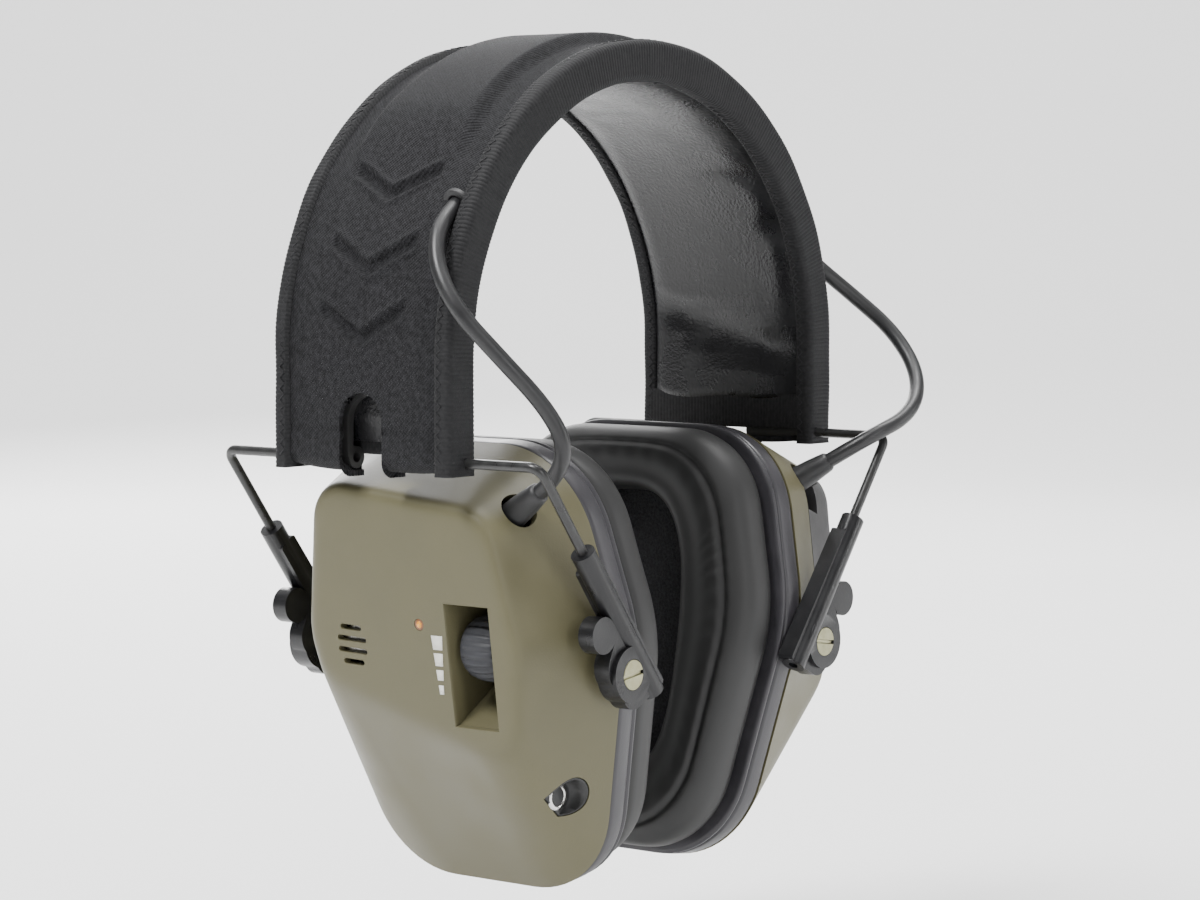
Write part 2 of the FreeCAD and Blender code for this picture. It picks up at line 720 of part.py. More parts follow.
def make_left_shell():
    """Left shell, with the wheel's window, lamp hole, jack boss and sound slots."""
    body = hollow_shell("left_shell_body", LEFT)
    front = local_front(LEFT)
    add_pivot_bosses(body)
    cut_slots(body, front)
    spot = (f"{front} * {S}window_front", f"{S}window_middle")
    well = new_sketch(body, "YZ_Plane", f"{S}shell_face - {S}shell_wall / 2")
    draw_polygon(well, rectangle(*spot, f"{S}window_width + 2 * {S}window_wall",
                                 f"{S}window_height + 2 * {S}window_wall"))
    extrude(well, body, "Pad", f"{S}shell_face - {S}shell_wall / 2 - {S}window_back",
            backwards=True)
    hole = new_sketch(body, "YZ_Plane", f"{S}shell_face + 1")
    draw_polygon(hole, rectangle(*spot, f"{S}window_width", f"{S}window_height"))
    cut(hole, body, f"{S}shell_face + 1 - {S}window_back - {S}window_wall")
    ramp = new_sketch(body, "XZ_Plane", f"-{front} * {S}window_front")
    low = f"{S}window_middle - {S}window_height / 2"
    back = f"{S}window_back + {S}window_wall / 2"
    draw_polygon(ramp, [(back, f"{low} - 0.5"), (f"{S}shell_face - 1", f"{low} - 0.5"),
                        (f"{S}shell_face - 1", low), (back, f"{low} + 7")])
    extrude(ramp, body, "Pad", f"{S}window_width + {S}window_wall", midplane=True)
    cut_circle(body, "YZ_Plane", f"{S}shell_face + 1", f"{front} * {S}lamp_front",
               f"{S}lamp_middle", f"{S}lamp_radius", f"{S}shell_wall + 3")
    doc.recompute()
    return add_jack_boss(body)


def add_jack_boss(shell):
    """Boss round the audio socket, trimmed to the shell's outside, with a round recess."""
    front = local_front(LEFT)
    whole = outside_body("left_shell_outside", LEFT)
    axis = Vector(0, front, 0)
    mouth = cup_point(LEFT, size("jack_position"), size("jack_mouth"), size("jack_middle"))
    blank = cylinder("jack_boss_blank", f"{S}jack_recess_radius + 1.2", "14",
                     mouth - axis * 3, axis)
    boss = boolean("Common", "jack_boss", whole, blank)
    joined = boolean("Fuse", "left_shell_with_boss", shell, boss)
    recess = cylinder("jack_recess", f"{S}jack_recess_radius", "14", mouth - axis * 0.6, axis)
    opened = boolean("Cut", "left_shell_recessed", joined, recess)
    bore = cylinder("jack_hole", f"{S}jack_outer_radius", f"{S}jack_depth + 14",
                    mouth - axis * (size("jack_depth") + 2), axis)
    return boolean("Cut", "left_shell_bored", opened, bore)


def bay_corners(grow="0"):
    """Side view of the battery bay, its top edge slanted for the door's swing."""
    top = f"{S}bay_top + {grow}"
    floor = f"{S}bay_floor - ({grow})"
    low = f"{S}bay_bottom - ({grow})"
    out = f"{S}shell_face + 1"
    return [(floor, low), (out, low), (out, top), (floor, f"{top} - {S}bay_slant")]


def side_prism(name, corners):
    """Side view extruded right across the cup."""
    body = new_body(name)
    sketch = new_sketch(body, "XZ_Plane")
    draw_polygon(sketch, corners)
    extrude(sketch, body, "Pad", f"4 * {S}ring_middle_half", midplane=True)
    return body


def outside_body(name, side):
    """Solid of everything inside the outer surface of a shell."""
    body = new_body(name)
    loft(body, "AdditiveLoft", [
        draw_section(body, f"{S}ring_outer_face", ring_corners()),
        draw_section(body, f"{S}shell_face", face_corners(local_front(side)))])
    return body


def make_right_shell():
    """Right shell, with a walled battery bay across its upper half."""
    body = hollow_shell("right_shell_body", RIGHT)
    add_pivot_bosses(body)
    doc.recompute()
    outside = outside_body("right_shell_outside", RIGHT)
    block = side_prism("bay_block", bay_corners(f"{S}shell_wall"))
    lining = boolean("Common", "bay_lining", outside, block)
    joined = boolean("Fuse", "right_shell_lined", body, lining)
    return boolean("Cut", "right_shell_opened", joined, side_prism("bay", bay_corners()))


def make_battery_door():
    """Cap over the battery bay; it swings out about its lower edge."""
    body = hollow_shell("battery_door_whole", RIGHT)
    gap = f"{S}door_gap"
    corners = [(f"{S}bay_floor + {gap}", f"{S}bay_bottom + {gap}"),
               (f"{S}shell_face + 1", f"{S}bay_bottom + {gap}"),
               (f"{S}shell_face + 1", f"{S}bay_top - {gap}"),
               (f"{S}bay_floor + {gap}", f"{S}bay_top - {gap} - {S}bay_slant")]
    door = boolean("Common", "battery_door_trimmed", body, side_prism("door_room", corners))
    notch = doc.addObject("Part::Box", "door_notch")
    width = 2 * (size("boot_base_radius") + size("boot_hole_gap"))
    notch.setExpression("Length", f"2 * {S}boot_length")
    notch.setExpression("Width", f"{width} + {S}notch_sweep")
    notch.setExpression("Height", "24")
    foot, aim = boot_axis(RIGHT)
    across = Vector(1, 0, 0).cross(aim).normalize()
    if across.z > 0:
        across = -across
    inward = aim.cross(across).normalize()
    turn = Placement(FreeCAD.Matrix(aim.x, across.x, inward.x, 0, aim.y, across.y, inward.y, 0,
                                    aim.z, across.z, inward.z, 0, 0, 0, 0, 1)).Rotation
    start = foot - aim * 4 - across * width / 2
    start -= inward * (width / 2 if inward.x < 0 else 24 - width / 2)
    notch.Placement = Placement(start, turn)
    notched = boolean("Cut", "battery_door_notched", door, notch)
    place_part(notched, "battery_door", cup_place(RIGHT, size("cup_tilt")))


def make_ring(side):
    """Ring that carries the cushion, clipped over the shell's rim."""
    name = f"{NAMES[side]}_ring"
    body = new_body(name)
    back = f"{S}ring_outer_face - {S}ring_depth"
    extrude(draw_section(body, back, ring_corners()), body, "Pad", f"{S}ring_depth - 0.02")
    opening = draw_section(body, f"{back} - 1", ring_corners(f"{S}ring_wall"))
    cut(opening, body, f"{S}ring_depth + 2", backwards=True)
    place_part(body, name, cup_place(side, size("cup_tilt")))


def ear_corners(inset="0"):
    """Ear opening of the cushion."""
    half, corner = f"({S}ear_half - {inset})", f"{S}ear_corner - {inset}"
    top, low = f"{S}ear_top - {inset}", f"-({S}ear_bottom - {inset})"
    return [(half, top, corner), (half, low, corner), (f"-{half}", low, corner),
            (f"-{half}", top, corner)]


def make_cushion(side):
    """Plain solid of the ear cushion, a thick ring around the ear."""
    name = f"{NAMES[side]}_cushion"
    body = new_body(name)
    back = f"{S}ring_outer_face - {S}ring_depth"
    outline = draw_section(body, f"{back} - 0.02", ring_corners(f"{S}cushion_inset"))
    pad = extrude(outline, body, "Pad", f"{S}cushion_depth", backwards=True)
    face = size("ring_outer_face") - size("ring_depth") - size("cushion_depth")
    rim = [f"Edge{i + 1}" for i, edge in enumerate(pad.Shape.Edges)
           if edge.BoundBox.XMax < face + 0.5]
    fillet = body.newObject("PartDesign::Fillet", name + "_round")
    fillet.Base = (pad, rim)
    fillet.setExpression("Radius", f"{S}cushion_round")
    doc.recompute()
    opening = draw_section(body, f"{back} + 1", ear_corners())
    cut(opening, body, f"{S}cushion_depth + 2")
    place_part(body, name, cup_place(side, size("cup_tilt")))


def make_foam_liner(side):
    """Soft foam sheet over the baffle, seen through the ear opening."""
    name = f"{NAMES[side]}_foam_liner"
    body = new_body(name)
    front_face = f"{S}ring_outer_face - {S}baffle_wall - 0.1"
    outline = draw_section(body, front_face, ring_corners(f"{S}ring_wall + 0.3"))
    extrude(outline, body, "Pad", f"{S}foam_liner_wall", backwards=True)
    place_part(body, name, cup_place(side, size("cup_tilt")))


def make_baffle(side):
    """Plate inside the ring that holds the loudspeaker."""
    name = f"{NAMES[side]}_baffle"
    body = new_body(name)
    outline = draw_section(body, f"{S}ring_outer_face - {S}baffle_wall",
                           ring_corners(f"{S}ring_wall + 0.2"))
    extrude(outline, body, "Pad", f"{S}baffle_wall")
    cut_circle(body, "YZ_Plane", f"{S}ring_outer_face + 1", "0", f"{S}speaker_height",
               f"{S}grille_radius", f"{S}baffle_wall + 2")
    for across, up in screw_spots():
        cut_circle(body, "YZ_Plane", f"{S}ring_outer_face + 1", f"{across}", f"{up}",
                   f"{S}housing_screw_radius", f"{S}baffle_wall + 2")
    place_part(body, name, cup_place(side, size("cup_tilt")))


def screw_spots():
    """Four screws that hold the baffle to the shell, near the corners."""
    half = size("ring_bottom_half") - size("ring_wall") - 5.5
    return [(half, 33.0), (half, -34.0), (-half, -34.0), (-half, 33.0)]


def make_speaker(side):
    name = f"{NAMES[side]}_speaker"
    body = new_body(name)
    base = f"{S}ring_outer_face + 0.02"
    spot = ("0", f"{S}speaker_height")
    pad_circle(body, "YZ_Plane", base, *spot, f"{S}speaker_radius", "2")
    pad_circle(body, "YZ_Plane", base, *spot, f"{S}speaker_radius * 0.6",
               f"{S}speaker_depth")
    place_part(body, name, cup_place(side, size("cup_tilt")))


def make_board(side):
    """Circuit board of the amplifier, behind the loudspeaker's magnet."""
    name = f"{NAMES[side]}_circuit_board"
    body = new_body(name)
    outline = new_sketch(body, "YZ_Plane", f"{S}board_position")
    draw_polygon(outline, rectangle("0", "-14", f"{S}board_width", f"{S}board_height"))
    extrude(outline, body, "Pad", f"{S}board_wall")
    place_part(body, name, cup_place(side, size("cup_tilt")))


def make_microphone(side):
    """Electret capsule behind the sound slots, or beside the battery bay."""
    name = f"{NAMES[side]}_microphone"
    spot = {LEFT: (size("shell_face") - size("shell_wall") - size("microphone_depth") - 0.1,
                   size("slot_front"), size("slot_middle")),
            RIGHT: (-1.8, 8.0, -35.0)}[side]
    start = cup_point(side, *spot)
    thing = cylinder(name, f"{S}microphone_radius", f"{S}microphone_depth", start,
                     Vector(1, 0, 0))
    place = cup_place(side, size("cup_tilt"))
    place_part(thing, name, place.multiply(thing.Placement))


def make_housing_screws(side):
    """Four equal screws through the baffle."""
    name = f"{NAMES[side]}_housing_screws"
    place = cup_place(side, size("cup_tilt"))
    members = []
    for index, (across, up) in enumerate(screw_spots()):
        seat = size("ring_outer_face") - size("baffle_wall")
        shank = cylinder(f"{name}_shank_{index}", f"{S}housing_screw_radius",
                         f"{S}housing_screw_length",
                         Vector(seat + size("baffle_wall") + 0.02, across, up),
                         Vector(1, 0, 0))
        shank.setExpression("Height", f"{S}housing_screw_length - {S}baffle_wall")
        head = cylinder(f"{name}_head_{index}", f"{S}housing_screw_head", "1.2",
                        Vector(size("ring_outer_face") + 0.02, across, up), Vector(1, 0, 0))
        members.append(boolean("Fuse", f"{name}_{index}", shank, head))
    place_part(group(name, members), name, place)


def make_pivot_screws(side):
    """Two slotted screws that the arms turn on."""
    name = f"{NAMES[side]}_pivot_screws"
    members = []
    seat = size("arm_inner_side") + size("boss_wall") - size("boss_recess")
    foot = size("arm_inner_side") - size("pivot_thread")
    for sign in (1, -1):
        shank = cylinder(f"{name}_shank_{sign + 1}", f"{S}pivot_shank_radius", "1",
                         Vector(0, sign * foot, 0), Vector(0, sign, 0))
        shank.setExpression(
            "Height", f"{S}pivot_thread + {S}boss_wall - {S}boss_recess + 0.2")
        head = cylinder(f"{name}_head_{sign + 1}", f"{S}pivot_head_radius",
                        f"{S}pivot_head_wall", Vector(0, sign * (seat + 0.1), 0),
                        Vector(0, sign, 0))
        screw = boolean("Fuse", f"{name}_blank_{sign + 1}", shank, head)
        slot = doc.addObject("Part::Box", f"{name}_slot_{sign + 1}")
        slot.setExpression("Length", f"2 * {S}pivot_head_radius + 2")
        slot.setExpression("Width", f"{S}slot_depth + 1")
        slot.setExpression("Height", f"{S}slot_width")
        face = seat + 0.1 + size("pivot_head_wall")
        low = face - size("slot_depth") if sign > 0 else -face - 1
        slot.Placement = Placement(
            Vector(-size("pivot_head_radius") - 1, low, -size("slot_width") / 2), Rotation())
        members.append(boolean("Cut", f"{name}_{sign + 1}", screw, slot))
    place_part(group(name, members), name, cup_place(side, size("cup_tilt")))


def make_boot(side):
    """Tapered rubber boot where the lead enters the shell, with a collar inside."""
    name = f"{NAMES[side]}_lead_boot"
    foot, aim = boot_axis(side)
    cone = doc.addObject("Part::Cone", name + "_cone")
    cone.setExpression("Radius1", f"{S}boot_base_radius")
    cone.setExpression("Radius2", f"{S}boot_tip_radius")
    cone.setExpression("Height", f"{S}boot_length")
    cone.Placement = Placement(foot, Rotation(Vector(0, 0, 1), aim))
    place = cup_place(side, size("cup_tilt"))
    place_part(cone, name, place.multiply(cone.Placement))


# ---------------------------------------------------------------- controls of the left cup

def make_wheel():
    """Ribbed volume wheel that turns on its own shaft."""
    body = new_body("volume_wheel")
    front = local_front(LEFT)
    middle = (f"{S}wheel_position", f"{S}wheel_middle")
    offset = f"-{front} * {S}window_front"
    pad_circle(body, "XZ_Plane", offset, *middle, f"{S}wheel_radius", f"{S}wheel_width",
               midplane=True)
    cut_circle(body, "XZ_Plane", offset, *middle, f"{S}wheel_shaft_radius + {S}running_gap",
               f"{S}wheel_width + 2", midplane=True)
    place_part(body, "volume_wheel", cup_place(LEFT, size("cup_tilt")))


def make_volume_shaft():
    """Fixed shaft across the window's well, carrying the wheel."""
    front = local_front(LEFT)
    width = size("window_width")
    start = Vector(size("wheel_position"), front * (size("window_front") - width / 2),
                   size("wheel_middle"))
    shaft = cylinder("volume_shaft", f"{S}wheel_shaft_radius", f"{S}window_width", start,
                     Vector(0, front, 0))
    place = cup_place(LEFT, size("cup_tilt"))
    place_part(shaft, "volume_shaft", place.multiply(shaft.Placement))


def make_lamp():
    """Power lamp in its hole in the left shell."""
    start = cup_point(LEFT, size("shell_face") - size("lamp_depth") + 0.4,
                      size("lamp_front"), size("lamp_middle"))
    lamp = cylinder("power_lamp", f"{S}lamp_radius - 0.02", f"{S}lamp_depth", start,
                    Vector(1, 0, 0))
    place = cup_place(LEFT, size("cup_tilt"))
    place_part(lamp, "power_lamp", place.multiply(lamp.Placement))


def make_jack():
    """Audio input socket that opens to the front, low on the left cup."""
    body = new_body("audio_jack")
    front = local_front(LEFT)
    spot = (f"{S}jack_position", f"{S}jack_middle")
    mouth = f"-{front} * {S}jack_mouth"
    pad_circle(body, "XZ_Plane", mouth, *spot, f"{S}jack_outer_radius",
               f"{S}jack_depth + 1.5", backwards=front < 0)
    cut_circle(body, "XZ_Plane", mouth, *spot, f"{S}jack_bore_radius", f"{S}jack_depth",
               backwards=front > 0)
    place_part(body, "audio_jack", cup_place(LEFT, size("cup_tilt")))


# ---------------------------------------------------------------- batteries of the right cup

def cell_heights():
    low = size("cell_low")
    return (low, low + 2 * size("cell_radius") + 0.6)


def make_cells():
    """Two small cells side by side in the bay."""
    members = []
    start_out = size("bay_floor") + size("cell_radius") + 0.3
    for index, up in enumerate(cell_heights()):
        start = cup_point(RIGHT, start_out, size("cell_front") - size("cell_length") / 2, up)
        members.append(cylinder(f"cell_{index}", f"{S}cell_radius", f"{S}cell_length", start,
                                Vector(0, local_front(RIGHT), 0)))
    place_part(group("battery_cells", members), "battery_cells",
               cup_place(RIGHT, size("cup_tilt")))


def make_contacts():
    """Sprung contact plates at both ends of the cells."""
    members = []
    low, high = cell_heights()
    for sign in (1, -1):
        plate = doc.addObject("Part::Box", f"contact_{sign + 1}")
        plate.setExpression("Length", f"1.4 * {S}cell_radius")
        plate.setExpression("Width", f"{S}contact_wall")
        plate.setExpression("Height", f"{high - low} + {S}cell_radius")
        ahead = size("cell_front") + sign * (size("cell_length") / 2 + 0.05)
        edge = local_front(RIGHT) * ahead
        edge -= size("contact_wall") if local_front(RIGHT) * sign < 0 else 0
        plate.Placement = Placement(
            Vector(size("bay_floor") + 0.1, edge, low - size("cell_radius") / 2), Rotation())
        members.append(plate)
    place_part(group("battery_contacts", members), "battery_contacts",
               cup_place(RIGHT, size("cup_tilt")))


# ---------------------------------------------------------------- leads

def seat_frame(points):
    """Points given above the cup pivots, moved to the head seat's frame."""
    return [Vector(x, y, z - SEAT) for x, y, z in points]


# Chosen by hand, millimetres above the pivots: from inside the band to the tip of the boot.
LEFT_ROUTE = seat_frame([
    (-54.4, -18.6, 103.7), (-65.2, -19.0, 98.2), (-71.5, -22.5, 89.0), (-73.0, -29.5, 79.0),
    (-67.5, -37.5, 68.5), (-60.8, -43.3, 59.0), (-57.5, -46.5, 51.0),
])
RIGHT_ROUTE = seat_frame([
    (60.0, -18.6, 93.7), (70.2, -18.9, 87.5), (77.5, -25.5, 79.5), (82.5, -35.5, 70.0),
    (80.0, -44.5, 59.5), (70.0, -49.0, 51.0),
])


def boot_end(side, beyond=0.0):
    """Point on the boot's axis, at its tip or some way beyond it."""
    foot, aim = boot_axis(side)
    return cup_place(side, size("cup_tilt")).multVec(foot + aim * (size("boot_length") + beyond))


def tangent_path(spots, name):
    """Straight runs joined by tangent arcs, each as large as its two runs allow.

    With a name, it prints the turn and radius of each bend.
    """
    edges, here = [], spots[0]
    for before, spot, after in zip(spots, spots[1:], spots[2:]):
        back, ahead = before - spot, after - spot
        run = min(back.Length, ahead.Length)
        turn = math.pi - back.getAngle(ahead)
        radius = 0.45 * run / math.tan(turn / 2)
        back.normalize()
        ahead.normalize()
        first, last = spot + back * 0.45 * run, spot + ahead * 0.45 * run
        centre = spot + (back + ahead).normalize() * (radius / math.cos(turn / 2))
        crest = centre + (spot - centre).normalize() * radius
        edges.append(Part.LineSegment(here, first).toShape())
        edges.append(Part.Arc(first, crest, last).toShape())
        if name:
            print(f"{name}: turn {math.degrees(turn):.0f} deg, radius {radius:.1f} mm")
        here = last
    edges.append(Part.LineSegment(here, spots[-1]).toShape())
    return Part.Wire(edges)


def tube_along(path, start, aim, radius):
    section = Part.Wire(Part.makeCircle(radius, start, aim))
    return path.makePipeShell([section], True, False)


def lead_spots(side, route):
    return route + [boot_end(side, size("boot_run")), boot_end(side)]


def make_lead(side, route):
    """Free stretch of the lead between the band and one cup's boot."""
    name = f"{NAMES[side]}_lead"
    spots = lead_spots(side, route)
    path = tangent_path(spots, name)
    thing = doc.addObject("Part::Feature", name)
    thing.Shape = tube_along(path, spots[0], spots[1] - spots[0], size("lead_radius"))
    thing.Placement = Placement()
    share = thing.Shape.Volume / (math.pi * size("lead_radius") ** 2 * path.Length)
    print(f"{name}: length {path.Length:.1f} mm, volume over section times length {share:.4f}")
    return place_part(thing, name)


def lead_angles():
    """Angles of the two ends of the lead inside the band, from +X."""
    return size("right_exit"), 180 - size("left_exit")


def band_lead_radius():
    return size("band_radius") - size("cover_wall") - 0.1 - size("lead_radius")


def band_lead_solid(radius):
    """Curved tube of some radius over the crown, inside the band's front edge."""
    first, last = (math.radians(angle) for angle in lead_angles())
    reach = band_lead_radius()
    middle = (first + last) / 2

    def spot(angle):
        return Vector(reach * math.cos(angle), -size("lead_side"),
                      ARCH_Z + reach * math.sin(angle))

    path = Part.Wire([Part.Arc(spot(first), spot(middle), spot(last)).toShape()])
    aim = Vector(-math.sin(first), 0, math.cos(first))
    return tube_along(path, spot(first), aim, radius)


def make_band_lead():
    thing = doc.addObject("Part::Feature", "band_lead")
    thing.Shape = band_lead_solid(size("lead_radius"))
    thing.Placement = Placement()
    place_part(thing, "band_lead")


def lead_tool(name, shapes):
    tool = doc.addObject("Part::Feature", name)
    tool.Shape = shapes[0].fuse(shapes[1:])
    tool.Placement = Placement()
    return tool


def exit_drill(route, radius):
    """Room for the first runs of a free lead, with a little start inside the pad."""
    first, second, third = route[:3]
    aim = (second - first).normalize()
    entry = Part.makeCylinder(radius, (second - first).Length, first - aim * 2, aim)
    bend = tangent_path([first, second, third], "")
    return entry.fuse(tube_along(bend, first, aim, radius))


def grommet_foot(route):
    """Foot and axis of a grommet, square to the lead where it leaves the cover."""
    aim = (route[1] - route[0]).normalize()
    middle = (route[1] - route[0]).Length
    return route[0] + aim * (0.55 * middle - size("grommet_wall")), aim


def make_grommet(side, route):
    """Rubber eyelet round the lead where it comes out of the cover."""
    name = f"{NAMES[side]}_grommet"
    start, aim = grommet_foot(route)
    outer = cylinder(name + "_rim", f"{S}grommet_radius", f"{S}grommet_wall", start, aim)
    inner = cylinder(name + "_bore", f"{S}lead_radius", f"{S}grommet_wall", start, aim)
    place_part(boolean("Cut", name, outer, inner), name)


# ---------------------------------------------------------------- assembly

def build():
    cover, pad = make_cover(), make_pad()
    make_bindings()
    make_strip()
    make_foam()
    for side in (LEFT, RIGHT):
        make_end_fitting(side)
        for facing in (FRONT, REAR):
            make_wire(side, facing)
            make_arm(side, facing)
        for make in (make_ring, make_cushion, make_foam_liner, make_baffle, make_speaker,
                     make_board, make_microphone, make_housing_screws, make_pivot_screws,
                     make_boot):
            make(side)
    for side, shell in ((LEFT, make_left_shell()), (RIGHT, make_right_shell())):
        drilled = cut_boot_hole(shell, side)
        place_part(drilled, f"{NAMES[side]}_shell", cup_place(side, size("cup_tilt")))
    make_battery_door()
    make_wheel()
    make_volume_shaft()
    make_lamp()
    make_jack()
    make_cells()
    make_contacts()
    channel = size("lead_radius") + 0.1
    tool = lead_tool("lead_channel", [
        band_lead_solid(channel), exit_drill(LEFT_ROUTE, channel),
        exit_drill(RIGHT_ROUTE, channel)])
    seats = []
    for route in (LEFT_ROUTE, RIGHT_ROUTE):
        start, aim = grommet_foot(route)
        seats.append(Part.makeCylinder(size("grommet_radius") + 0.05, 12, start, aim))
    seat_tool = lead_tool("grommet_seats", seats)
    doc.recompute()
    drilled = boolean("Cut", "band_cover_seats", cover, seat_tool)
    for thing, name in ((drilled, "band_cover"), (pad, "band_pad")):
        place_part(boolean("Cut", name + "_drilled", thing, tool), name)
    make_lead(LEFT, LEFT_ROUTE)
    make_lead(RIGHT, RIGHT_ROUTE)
    make_band_lead()
    make_grommet(LEFT, LEFT_ROUTE)
    make_grommet(RIGHT, RIGHT_ROUTE)
    doc.recompute()


def check_and_write():
    """Stop on any failed object, then write one file for each sub-part."""
    failed = [item.Name for item in doc.Objects if {"Invalid", "Error"} & set(item.State)]
    if failed:
        raise RuntimeError(f"failed objects: {failed}")
    os.makedirs("parts", exist_ok=True)
    for name, thing in parts.items():
        if thing.Shape.isNull() or not thing.Shape.isValid():
            raise RuntimeError(f"{name}: no valid shape")
        thing.Shape.exportStep(f"parts/{name}.step")
    print(f"{len(parts)} sub-parts written")


build()
check_and_write()
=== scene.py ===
"""Electronic folding earmuffs, dressed over their mechanical frame.

Every length is worked out in metres, in the frame of the part: +Z up, X from ear to ear with
the left cup at -X, the front faces -Y, and the origin is the lowest point of the pad under the
crown of the headband.  Heights written with SEAT are measured from the cup pivots.
"""
import json
import logging
import math
from collections.abc import Sequence
from dataclasses import dataclass
from enum import Enum

import bmesh
import bpy
import numpy as np
from mathutils import Matrix, Vector


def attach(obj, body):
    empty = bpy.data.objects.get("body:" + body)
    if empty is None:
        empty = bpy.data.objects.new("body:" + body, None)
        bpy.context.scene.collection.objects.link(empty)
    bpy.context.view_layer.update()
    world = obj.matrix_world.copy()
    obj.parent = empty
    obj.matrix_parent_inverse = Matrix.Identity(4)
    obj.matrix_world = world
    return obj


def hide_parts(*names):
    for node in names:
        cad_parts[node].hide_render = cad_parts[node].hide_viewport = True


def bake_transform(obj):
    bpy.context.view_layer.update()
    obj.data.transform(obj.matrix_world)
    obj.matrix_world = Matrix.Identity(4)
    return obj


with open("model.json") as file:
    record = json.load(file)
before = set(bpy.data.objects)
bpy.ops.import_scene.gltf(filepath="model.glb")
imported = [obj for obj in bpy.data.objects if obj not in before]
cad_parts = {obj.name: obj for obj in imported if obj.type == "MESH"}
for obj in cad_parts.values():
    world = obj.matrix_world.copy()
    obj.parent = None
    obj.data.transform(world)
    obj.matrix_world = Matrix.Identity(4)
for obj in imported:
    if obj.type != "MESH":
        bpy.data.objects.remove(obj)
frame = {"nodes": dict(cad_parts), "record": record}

logging.basicConfig(level=logging.INFO, format="%(message)s")
log = logging.getLogger("earmuffs")

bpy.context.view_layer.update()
MM = 0.001
SEAT = 128.7 * MM  # head seat above the cup pivots

Array = np.ndarray


class Side(Enum):
    """Which ear a cup belongs to; the value is the sign of its X."""

    LEFT = -1
    RIGHT = 1

    @property
    def word(self) -> str:
        """The side's name as the frame's nodes spell it."""
        return self.name.lower()


class Facing(Enum):
    """Front or rear of the object; the value is the sign of the ahead coordinate."""

    FRONT = 1
    REAR = -1

    @property
    def word(self) -> str:
        """The facing's name as the frame's nodes spell it."""
        return self.name.lower()


# ---------------------------------------------------------------- meshes from arrays


def grid_faces(rows: int, columns: int, wrap: bool) -> Array:
    """Quads of a grid whose points are stored row by row.

    Args:
        rows: number of rows of points.
        columns: number of points in a row.
        wrap: whether each row closes on itself.

    Returns:
        An array of quads, one line of four point numbers for each.
    """
    last = columns if wrap else columns - 1
    row, column = np.meshgrid(np.arange(rows - 1), np.arange(last), indexing="ij")
    following = (column + 1) % columns
    corners = (row * columns + column, row * columns + following,
               (row + 1) * columns + following, (row + 1) * columns + column)
    return np.stack([corner.ravel() for corner in corners], axis=1)


def mesh_object(name: str, points: Array,
                faces: Sequence[Sequence[int]] | Array) -> bpy.types.Object:
    """A smooth-shaded object at the origin with its place in its mesh.

    Args:
        name: name of the object and its mesh.
        points: one line of x, y and z for each point.
        faces: point numbers of each face.

    Returns:
        The new object, linked to the scene.
    """
    mesh = bpy.data.meshes.new(name)
    mesh.from_pydata(points.reshape(-1, 3).tolist(), [], [list(map(int, f)) for f in faces])
    mesh.polygons.foreach_set("use_smooth", np.ones(len(mesh.polygons), bool))
    mesh.update()
    thing = bpy.data.objects.new(name, mesh)
    bpy.context.scene.collection.objects.link(thing)
    return thing


def grid_object(name: str, grid: Array, wrap: bool, caps: bool = False) -> bpy.types.Object:
    """An object from a grid of points, with an optional fan at each end row.

    Args:
        name: name of the object.
        grid: points, rows by columns by three.
        wrap: whether each row closes on itself.
        caps: whether the first and last rows are closed with one face each.

    Returns:
        The new object with a UV map that runs along rows and columns.
    """
    rows, columns = grid.shape[:2]
    faces = grid_faces(rows, columns, wrap).tolist()
    if caps:
        faces.append(list(range(columns)))
        faces.append(list(range((rows - 1) * columns, rows * columns)))
    thing = mesh_object(name, grid, faces)
    lay_uv(thing, grid, wrap)
    return thing


def lay_uv(thing: bpy.types.Object, grid: Array, wrap: bool) -> None:
    """Write a UV map in metres: along the columns' run and across the rows' run.

    The first coordinate is the length run along the middle row, and the second the length run
    across the middle column.

    Args:
        thing: the object whose mesh is the grid.
        grid: its points.
        wrap: whether each row closes on itself.
    """
    rows, columns = grid.shape[:2]
    middle_row = grid[rows // 2]
    along = np.concatenate([[0], np.cumsum(np.linalg.norm(np.diff(middle_row, axis=0), axis=1))])
    across = np.concatenate(
        [[0], np.cumsum(np.linalg.norm(np.diff(grid[:, columns // 2], axis=0), axis=1))])
    closing = along[-1] + np.linalg.norm(middle_row[0] - middle_row[-1])
    mesh = thing.data
    layer = mesh.uv_layers.new(name="run")
    owner = np.zeros(len(mesh.loops), int)
    mesh.loops.foreach_get("vertex_index", owner)
    u, v = along[owner % columns], across[np.minimum(owner // columns, rows - 1)]
    if wrap:
        quads = (rows - 1) * columns
        face = np.arange(len(owner)) // 4
        seam = (face < quads) & (face % columns == columns - 1) & (owner % columns == 0)
        u = np.where(seam, closing, u)
    layer.data.foreach_set("uv", np.stack([u, v], axis=1).ravel().astype(np.float32))


def outward(thing: bpy.types.Object) -> bpy.types.Object:
    """Turn a closed mesh's faces outwards, after merging points that coincide."""
    work = bmesh.new()
    work.from_mesh(thing.data)
    bmesh.ops.remove_doubles(work, verts=work.verts, dist=1e-7)
    bmesh.ops.recalc_face_normals(work, faces=work.faces)
    work.to_mesh(thing.data)
    work.free()
    return thing


def settle(thing: bpy.types.Object) -> bpy.types.Object:
    """Apply every modifier of an object to its mesh."""
    view = bpy.context.evaluated_depsgraph_get()
    mesh = bpy.data.meshes.new_from_object(thing.evaluated_get(view))
    thing.modifiers.clear()
    thing.data = mesh
    return thing


